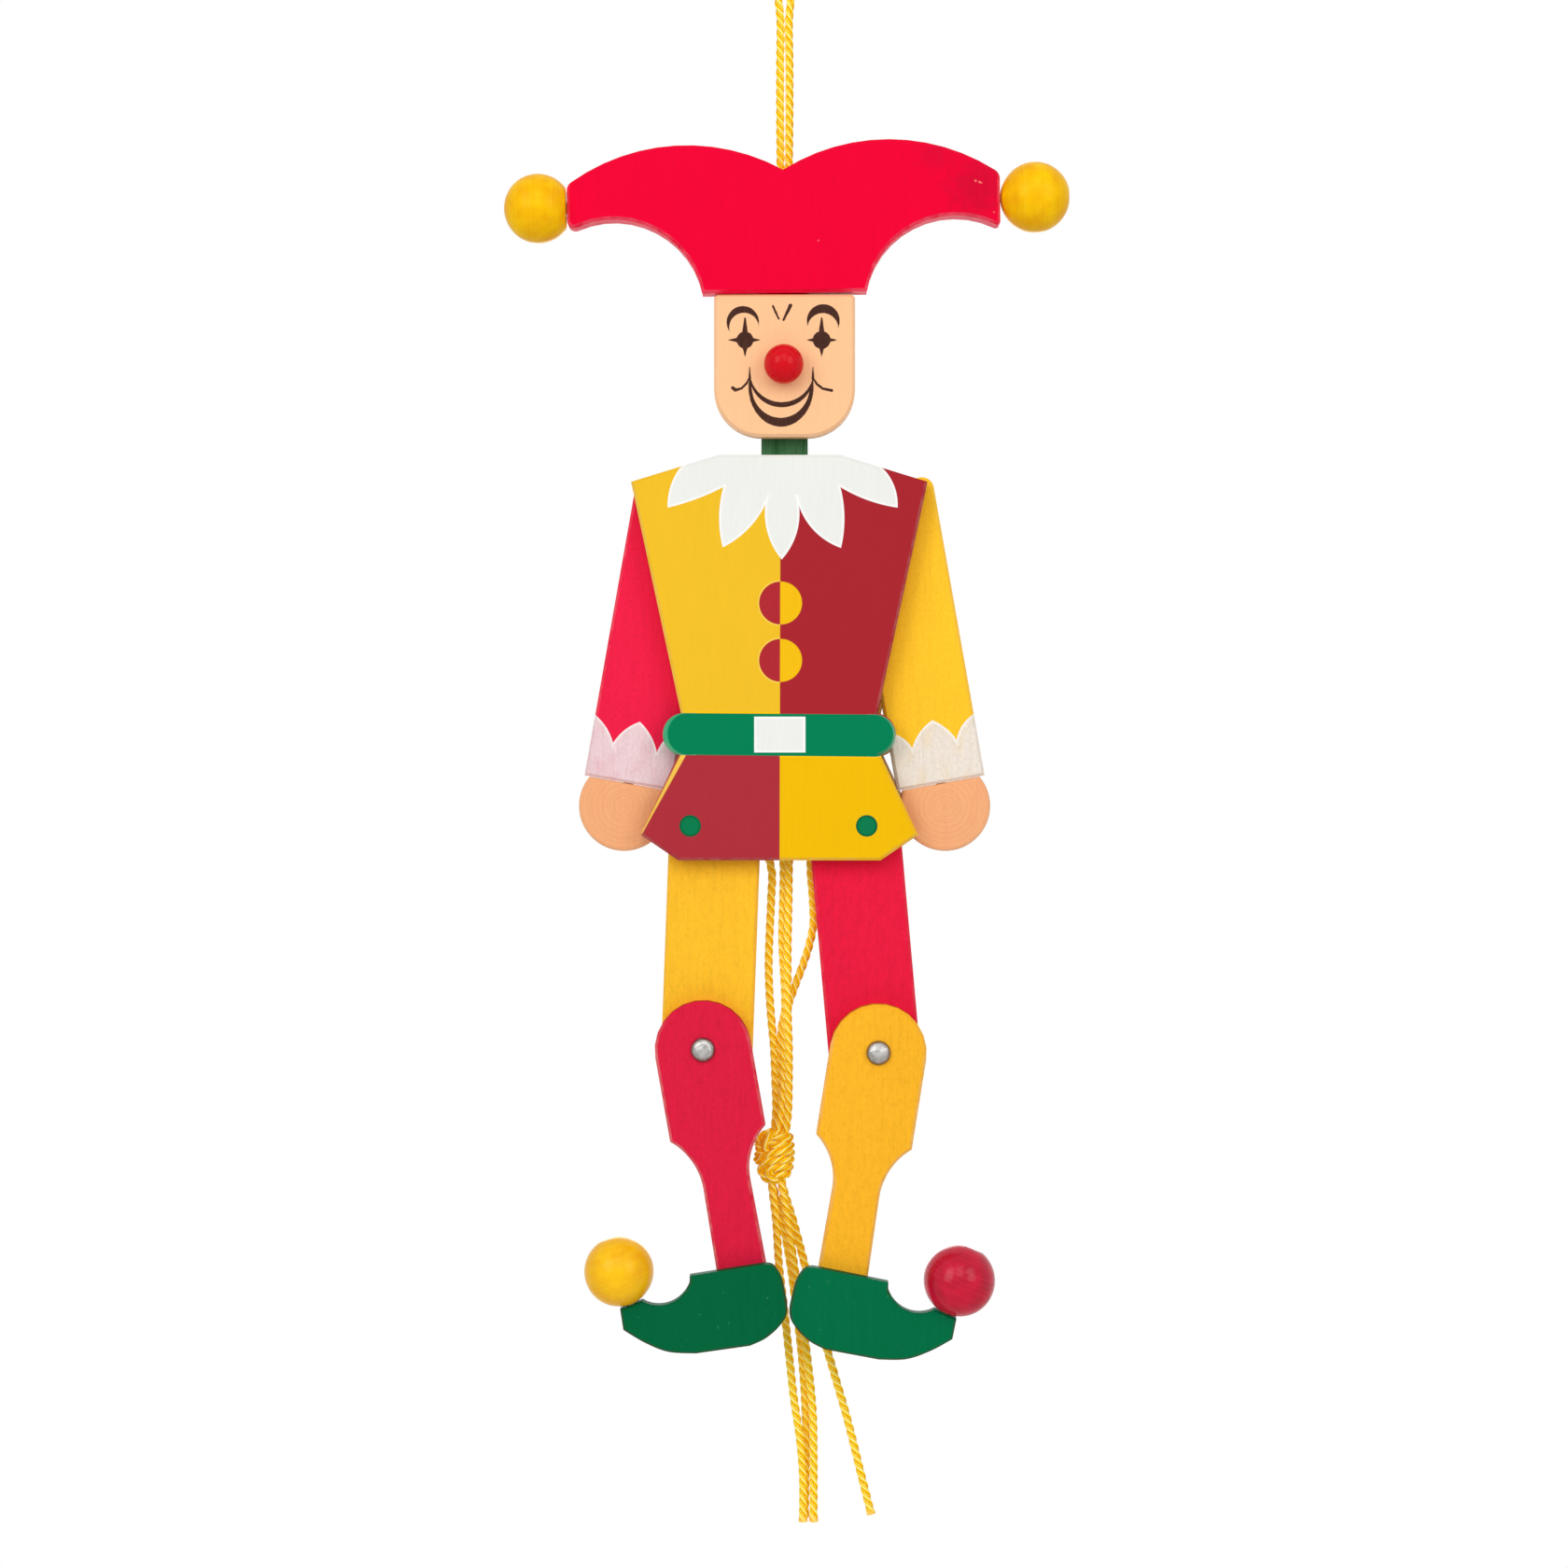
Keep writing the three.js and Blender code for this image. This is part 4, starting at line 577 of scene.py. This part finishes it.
face_paint = Finish("face_paint", roughness=0.5).place()
jaw, gap = oval(face_paint, *JAW), oval(face_paint, *GAP)
upper_lip, lower_lip = disc(face_paint, *UPPER_LIP), disc(face_paint, *LOWER_LIP)
brown = jaw.low(lower_lip).high(-upper_lip).high(-gap.high(-lower_lip)).high(face_paint.z - MOUTH_TOP)
for line in BROW_LINES + MOUTH_CORNERS + CHEEK_LINES:
    brown = brown.low(stroke(face_paint, *line))
for outer, inner in BROWS:
    brown = brown.low(disc(face_paint, *outer).high(-disc(face_paint, *inner)))
for eye_x, eye_z, pupil, left_reach, right_reach in EYES:
    brown = brown.low(disc(face_paint, eye_x, eye_z, pupil))
    # Each spike: its reach to the right and up, and its half-widths at the root and the tip.
    for across, up, root, tip in ((0, SPIKE_UP, 0.62, 0.16), (0, -SPIKE_DOWN, 0.66, 0.06),
                                  (-left_reach, 0, 0.60, 0.05), (right_reach, 0, 0.60, 0.05)):
        start = (eye_x + across * SPIKE_ROOT, eye_z + up * SPIKE_ROOT)
        brown = brown.low(stroke(face_paint, start, (eye_x + across, eye_z + up), root, tip))
rough_edge = face_paint.noise(3.0, 2.0, stretch=(1, 1, 3))
on_front = (face_paint.y - FACE_FRONT).inside(1.0)
features = (brown - 0.05 + (rough_edge - 0.5) * 0.22).inside(0.12) * on_front
streaks = face_paint.noise(2.2, 2.0, stretch=(1, 1, 8), shift=(1, 1, 4))
brush = face_paint.mix(((streaks - 0.5) * 3.0).held(), paint(FEATURE_BROWN), paint("5A3A2E"))
painted(face_paint, face_paint.mix(features, paint(FLESH), brush), grain_amount=0.03)
painted_board("face_board", face_paint, "torso")


# The nose is a turned ball, glued on a pin in the middle of the face and lacquered red.
# The lacquer is glossy and a little uneven.
NOSE_CENTRE, NOSE_RADIUS = (-0.0002, -0.0132, -0.1088), 0.00485
POLE_RADIUS = 0.00002        # the small ring at each pole, which a cap closes


def turned(profile, centre, axis, sides=64):
    """A lathe form: each point of the profile, its distance from the axis and its height, is carried round the axis."""
    axis = np.array(axis, float) / np.linalg.norm(axis)
    side = np.cross(axis, (0, 0, 1) if abs(axis[2]) < 0.9 else (1, 0, 0))
    side /= np.linalg.norm(side)
    other = np.cross(axis, side)
    angle = np.linspace(0, 2 * np.pi, sides, endpoint=False)[None, :, None]
    radius, height = (np.array(profile)[:, c][:, None, None] for c in (0, 1))
    ring = radius * (np.cos(angle) * side + np.sin(angle) * other)
    return (np.array(centre) + ring + height * axis)[::-1]


def ball_profile(radius, back, front, steps=40):
    """The half outline of a ball cut flat at both ends: R cos a and R sin a, for an angle a between the two cuts."""
    angle = np.linspace(-math.asin(min(back / radius, 1.0)), math.asin(min(front / radius, 1.0)), steps)
    ring = np.stack([np.maximum(radius * np.cos(angle), POLE_RADIUS), radius * np.sin(angle)], -1)
    return np.vstack([[POLE_RADIUS, ring[0, 1]], ring, [POLE_RADIUS, ring[-1, 1] + 1e-6]])


lacquer_red = Finish("nose_lacquer", roughness=0.15, shine=0.12).place()
spots = lacquer_red.noise(0.9, 2.0)
lacquer_red.feed(Base_Color=lacquer_red.mix(spots, paint("D0000E"), paint("DC0A20")))
lacquer_red.relief(spots, 0.00005)
nose_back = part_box("nose_bead")[1][1] - NOSE_CENTRE[1]
piece("nose_ball", turned(ball_profile(NOSE_RADIUS, nose_back, NOSE_RADIUS), NOSE_CENTRE, (0, -1, 0)),
      lacquer_red, "torso", replaces=("nose_bead",))


# The hat is a two-horned board in front of the neck strip, a little thicker than the face, painted bright red.
# Its right end is worn: two darker patches and some chips. Its edges are rubbed to a lighter pink beside the face.
HAT_RED = "EE0034"
WORN_END, WORN_TOP = (48.0, -65.0, 6.5), (37.2, -57.0, 3.0)
CHIPS = [(46.9, -63.5, 0.25), (51.4, -71.2, 0.15), (8.3, -78.2, 0.15)]
CHIPPED_LINE = ((47.8, -63.8), (48.3, -64.0), 0.22, 0.15)
FACE_HALF_WIDTH, HAT_FRONT = 13.0, -10.0
hat_paint = Finish("hat_paint", roughness=0.45, shine=0.03).place()
mottle = hat_paint.noise(0.45, 3.0, shift=(4, 2, 8))
worn = (disc(hat_paint, *WORN_END) + (mottle - 0.5) * 12.0).inside(7.0)
worn_top = (disc(hat_paint, *WORN_TOP) + (mottle - 0.5) * 8.0).inside(5.0)
shade = hat_paint.mix(worn * 0.6, paint(HAT_RED), paint("C60A31"))
shade = hat_paint.mix(worn_top * 0.5, shade, paint("CC0A32"))
chips = stroke(hat_paint, *CHIPPED_LINE)
for chip in CHIPS:
    chips = chips.low(disc(hat_paint, *chip))
on_front = (hat_paint.y - HAT_FRONT).inside(1.0)
shade = hat_paint.mix(chips.inside(0.3) * on_front * 0.8, shade, paint("FF8A80"))
beside_face = ((abs(hat_paint.x) - FACE_HALF_WIDTH) * 0.25).held()
painted(hat_paint, shade, grain_amount=0.03, wear=beside_face * 0.5 + 0.05, edge_colour="FF6A80")
painted_board("hat_board", hat_paint, "torso")


# Each horn of the hat carries a turned wooden ball on a pin, lacquered yellow. Both balls are cut flat at their ends.
# The brush has left rings round them.
RING_STRENGTH = 0.35
HAT_TILT = math.radians(0.7)
HAT_BALLS = (                # side, middle, radius, and how far its two flats lie from the middle
    ("left", (-0.060712, -0.008, -0.06974), 0.00845, 0.0069, 0.00845),
    ("right", (0.061713, -0.008, -0.066944), 0.0086, 0.00845, 0.0083))


def bead_lacquer(name, colours, axis, roughness=0.3, shine=0.06):
    """Lacquer on a turned ball: rings across its axis, from noise on the height along the axis, and a cloudy tone."""
    colour, dark, light = colours
    finish = Finish(name, roughness=roughness, shine=shine).place()
    axis = tuple((np.array(axis, float) / np.linalg.norm(axis)).tolist())
    height = finish.node("ShaderNodeVectorMath", {"operation": "DOT_PRODUCT"}, {0: finish.point, 1: axis}, output=1)
    ring_place = finish.node("ShaderNodeCombineXYZ", None, {0: height * 1.6, 1: 0.0, 2: 0.0})
    rings = finish.noise(1.0, 2.0, source=ring_place)
    cloud = finish.noise(0.22, 3.0, shift=(2, 9, 4))
    shade = finish.mix(((cloud - 0.35) * 3.0).held(), paint(dark), paint(colour))
    shade = finish.mix(((rings - 0.45) * 3.0).held() * RING_STRENGTH, shade, paint(light))
    finish.feed(Base_Color=shade)
    finish.relief(rings, 0.00006)
    return finish


def turned_bead(name, node, centre, radius, back, front, axis, finish, body):
    """A lacquered ball in place of a CAD bead, its flats the given distances behind and before its middle."""
    piece(name, turned(ball_profile(radius, back, front), centre, axis), finish, body, replaces=(node,))


tilt_axis = np.array((math.cos(HAT_TILT), 0, math.sin(HAT_TILT)))
for side, centre, radius, back, front in HAT_BALLS:
    outward = -tilt_axis if side == "left" else tilt_axis
    lacquer = bead_lacquer(f"hat_bead_lacquer_{side}", ("FFC800", "F4AE00", "FFD430"), outward)
    turned_bead(f"hat_ball_{side}", f"hat_bead_{side}", centre, radius, back, front, outward, lacquer,
                "torso")


# The arms are flat boards with square shoulders, one red and one yellow, each with a zigzag white cuff at its end.
# Their paint is thin, so the upright grain shows through.
ARM_RED, ARM_YELLOW = "EE1F47", "FFC62C"
CUFF_SCALE, CUFF_MIDDLE = 0.9921, -211.6     # the cuffs were measured on the front board, 5 mm nearer the camera
CUFF_TOP, CUFF_RIM = -203.9, 0.5


def on_arms(x, z, radius):
    """A circle measured on the front board, as large as it is on the arms: offsets from the middle over the scale."""
    return x / CUFF_SCALE, CUFF_MIDDLE + (z - CUFF_MIDDLE) / CUFF_SCALE, radius / CUFF_SCALE


CUFFS = {
    "left": dict(paint=ARM_RED, cuff="EBCFD2", rim="F6E6E6", stain="E3A9B4", outer=(-55.05, -204.83, 13.29),
                 middle=((-31.71, -207.99, 12.29), (-44.88, -206.35, 13.68)), inner=(-20.2, -208.6, 12.2)),
    "right": dict(paint=ARM_YELLOW, cuff="EBE0D4", rim="F7F1EA", stain="EBD3A6", outer=(51.43, -202.21, 9.22),
                  middle=((43.14, -206.00, 12.15), (31.16, -208.46, 13.55)), inner=(24.86, -206.64, 7.56)),
}
for side, facts in CUFFS.items():
    arm_paint = Finish(f"arm_paint_{side}", roughness=0.55).place()
    cuff = disc(arm_paint, *on_arms(*facts["outer"])).low(disc(arm_paint, *on_arms(*facts["inner"])))
    cuff = cuff.low(lens(arm_paint, *(on_arms(*circle) for circle in facts["middle"])))
    cuff = cuff.low(arm_paint.z - CUFF_TOP)
    spread = arm_paint.noise(0.35, 3.0, stretch=(1, 1, 2), shift=(5, 5, 1))
    white = arm_paint.mix(((spread - 0.45) * 3.0).held() * 0.6, paint(facts["cuff"]), paint(facts["stain"]))
    shade = arm_paint.mix(cuff.inside(), paint(facts["paint"]), paint(facts["rim"]))
    shade = arm_paint.mix((cuff + CUFF_RIM).inside(0.4), shade, white)
    painted(arm_paint, shade, grain_amount=0.06, speckle=0.35)
    slot = "limb_red" if side == "left" else "limb_yellow"
    painted_board(f"arm_{side}", arm_paint, f"arm_assembly_{side}")


# The hands are turned discs, glued to the ends of the arms and cut flat at the wrist.
# The lathe has left fine rings on their faces, and their rims are rounded.
HAND_RADIUS, WRIST, HAND_RIM = 0.0112, 0.0056, 0.001
ARM_LEAN = math.radians(10.003)      # the arms hang this far out from upright


def hand_disc(centre, lean, back, front):
    """A disc with a rounded rim and a flat: its outline is r = min(R, w / cos f), f being the angle from the
    arm's direction. The rim draws it in by e (1 - sin b) and lifts it by e (1 - cos b), for b up to a right angle."""
    turn = np.linspace(0, 2 * np.pi, 144, endpoint=False)[None, :]
    outline = np.minimum(HAND_RADIUS, WRIST / np.maximum(np.cos(turn), 0.001))
    bend = np.linspace(0, np.pi / 2, 7)[:, None]
    drawn, lifted = HAND_RIM * (1 - np.sin(bend)), HAND_RIM * (1 - np.cos(bend))
    pole = outline * 0.002              # a small ring round the middle, which a cap closes
    r = np.vstack([pole, outline - drawn, outline - drawn[::-1], pole])
    y = np.vstack([[[back]], back - lifted, front + lifted[::-1], [[front]]]) + 0 * turn
    return np.stack([centre[0] + r * np.sin(turn + lean), y, centre[1] + r * np.cos(turn + lean)], -1)


for side, lean in (("left", ARM_LEAN), ("right", -ARM_LEAN)):
    low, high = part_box(f"hand_{side}")
    centre = ((low[0] + high[0]) / 2, low[2] + HAND_RADIUS)
    hand_paint = Finish(f"hand_paint_{side}", roughness=0.5).place()
    away = disc(hand_paint, centre[0] * 1000, centre[1] * 1000, 0.0)
    ring_place = hand_paint.node("ShaderNodeCombineXYZ", None, {0: away * 3.4, 1: 0.0, 2: 0.0})
    rings = hand_paint.noise(1.0, 2.0, source=ring_place)
    figure = hand_paint.noise(0.5, 2.0, stretch=(1, 1, 4), shift=(2, 4, 4))
    shade = hand_paint.mix(((rings - 0.40) * 4.0).held() * 0.6, paint("F9B482"), paint("E59A62"))
    shade = hand_paint.mix(((figure - 0.45) * 3.0).held() * 0.25, shade, paint("F2A070"))
    painted(hand_paint, shade, grain_amount=0.03, wear=0.2, edge_colour="FFD8B4", top_shade=0.0)
    hand_paint.relief(rings, 0.00015)
    piece(f"hand_{side}_disc", hand_disc(centre, lean, high[1], low[1]), hand_paint, f"arm_assembly_{side}",
          replaces=(f"hand_{side}",))


# The legs are flat boards too: a straight thigh behind and a calf-shaped lower leg in front, in opposite colours.
# Thin paint lets the grain show.
LEGS = (                     # node, body, paint, slot, and how much its edges are rubbed
    ("thigh_left", "thigh_assembly_left", "FEC12C", "limb_yellow", 0.05),
    ("thigh_right", "thigh_assembly_right", "EA1C40", "limb_red", 0.05),
    ("lower_leg_left", "foot_assembly_left", "DE1E40", "limb_red", 0.18),
    ("lower_leg_right", "foot_assembly_right", "FDB728", "limb_yellow", 0.18))
for node, body, colour, slot, wear in LEGS:
    leg_paint = Finish(f"{node}_paint", roughness=0.55).place()
    mottle = leg_paint.noise(0.9, 3.0, stretch=(1, 1, 2.5), shift=(8, 1, 3))
    dark = tuple(0.80 * c for c in paint(colour))
    shade = leg_paint.mix(((mottle - 0.45) * 3.0).held() * 0.5, paint(colour), dark)
    painted(leg_paint, shade, grain_amount=0.056, speckle=0.30, wear=wear)
    painted_board(node, leg_paint, body)


# A rivet with a domed steel head joins each knee, over a washer behind the thigh.
# The head is pressed, and darker along its narrow rim.
RIVET_HEAD = 2.1             # its radius inside the rim, in millimetres
steel = Finish("rivet_steel", roughness=0.45, shine=0.5, Metallic=1.0).place()
scratch = steel.noise(0.8, 3.0)
heads = []
for side in ("left", "right"):
    low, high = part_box(f"knee_rivet_{side}")
    heads.append(disc(steel, (low[0] + high[0]) * 500, (low[2] + high[2]) * 500, 0.0))
rim = ((heads[0].low(heads[1]) - RIVET_HEAD) * 1.5).held()
shade = steel.mix(((scratch - 0.3) * 2.0).held(), (0.27, 0.26, 0.255), (0.60, 0.585, 0.56))
steel.feed(Base_Color=steel.mix(rim, shade, (0.23, 0.19, 0.17)), Roughness=scratch * 0.3 + 0.25)
steel.relief(scratch, 0.0002)
for side in ("left", "right"):
    dress(f"knee_rivet_{side}", steel)
    dress(f"knee_washer_{side}", steel)


# The shoes are boards with a curled toe, glued in front of the shins and painted green.
# Some pale flecks are in the paint, and brown wood shows along the sawn edges.
for side, colour in (("left", "00633A"), ("right", "006C42")):
    shoe_paint = Finish(f"shoe_paint_{side}", roughness=0.5).place()
    flecks = (shoe_paint.noise(0.9, 1.0, shift=(2, 2, 6)) - 0.75) * 14.0
    shade = shoe_paint.mix(flecks.held() * 0.45, paint(colour), paint("4FA57C"))
    painted(shoe_paint, shade, grain_amount=0.05, wear=0.85, edge_colour="46452C")
    painted_board(f"shoe_{side}", shoe_paint, f"foot_assembly_{side}")


# A ball is pinned on each curled toe, yellow on the left and dark red on the right.
# Both are turned and lacquered as the hat's are, and cut flat above and below.
TOE_BALLS = {
    "left": dict(centre=(-0.040593, -0.012, -0.331018), radius=0.0085, flat=0.0083, upward=(-0.357, 0, 0.934),
                 colours=("FFC608", "F4B00A", "FFD040"), roughness=0.24, shine=0.14, slot="bead_yellow"),
    "right": dict(centre=(0.042842, -0.012, -0.333255), radius=0.00875, flat=0.0084, upward=(0.398, 0, 0.918),
                  colours=("D20A36", "B40A2C", "DA2C4C"), roughness=0.16, shine=0.2, slot="bead_dark_red"),
}
for side, ball in TOE_BALLS.items():
    lacquer = bead_lacquer(f"toe_bead_lacquer_{side}", ball["colours"], ball["upward"], ball["roughness"],
                           ball["shine"])
    turned_bead(f"toe_ball_{side}", f"toe_bead_{side}", ball["centre"], ball["radius"], ball["flat"], ball["flat"],
                ball["upward"], lacquer, f"foot_assembly_{side}")


# The studio is a white room with four large soft lamps: left, right, in front and behind.
# The room shows as white, and lights the figure less than it shows.
ROOM_LIGHT = 0.5
LAMPS = (                    # name, degrees round the figure and above its middle, and watts
    ("left_lamp", -38, 22, 4.4), ("right_lamp", 40, 20, 3.4), ("front_lamp", 0, 34, 2.3), ("back_lamp", 180, 8, 3.5))
LAMP_DISTANCE, LAMP_AIM, LAMP_WIDTH, LAMP_HEIGHT = 1.2, -0.2, 0.55, 0.8

world = bpy.data.worlds.new("studio")
bpy.context.scene.world = world
world.use_nodes = True
nodes, links = world.node_tree.nodes, world.node_tree.links
path_info = nodes.new("ShaderNodeLightPath")
seen = path_info.outputs["Is Camera Ray"]
for ray in ("Is Transmission Ray", "Is Glossy Ray"):
    either = nodes.new("ShaderNodeMath")
    either.operation = "MAXIMUM"
    links.new(seen, either.inputs[0])
    links.new(path_info.outputs[ray], either.inputs[1])
    seen = either.outputs[0]
strength = nodes.new("ShaderNodeMapRange")
links.new(seen, strength.inputs["Value"])
strength.inputs["To Min"].default_value = ROOM_LIGHT
strength.inputs["To Max"].default_value = 1.0
links.new(strength.outputs["Result"], nodes["Background"].inputs["Strength"])
nodes["Background"].inputs["Color"].default_value = (1, 1, 1, 1)

for name, azimuth, rise, power in LAMPS:
    lamp = bpy.data.lights.new(name, "AREA")
    lamp.shape, lamp.size, lamp.size_y, lamp.energy = "RECTANGLE", LAMP_WIDTH, LAMP_HEIGHT, power
    lamp_object = bpy.data.objects.new(name, lamp)
    a, e = math.radians(azimuth), math.radians(rise)
    lamp_object.location = (LAMP_DISTANCE * math.sin(a) * math.cos(e), -LAMP_DISTANCE * math.cos(a) * math.cos(e),
                            LAMP_AIM + LAMP_DISTANCE * math.sin(e))
    lamp_object.rotation_euler = (math.pi / 2 - e, 0, a)
    lamp_object.visible_camera = False
    bpy.context.scene.collection.objects.link(lamp_object)


# The floor is a round pale sheet, well below the figure, which hangs clear of it.
# It is one flat face.
FLOOR_HEIGHT, FLOOR_RADIUS, FLOOR_SIDES = -0.62, 0.66, 96
ring = np.linspace(0, 2 * np.pi, FLOOR_SIDES, endpoint=False)
rim = np.stack([FLOOR_RADIUS * np.cos(ring), FLOOR_RADIUS * np.sin(ring), np.full(FLOOR_SIDES, FLOOR_HEIGHT)], -1)
floor_mesh = bpy.data.meshes.new("floor")
floor_mesh.from_pydata(rim.tolist(), [], [list(range(FLOOR_SIDES))])
floor = bpy.data.objects.new("floor", floor_mesh)
floor_finish = Finish("pale_floor", roughness=0.8)
floor_finish.shader.inputs["Base Color"].default_value = (0.93, 0.93, 0.92, 1)
floor_mesh.materials.append(floor_finish.material)
bpy.context.scene.collection.objects.link(floor)
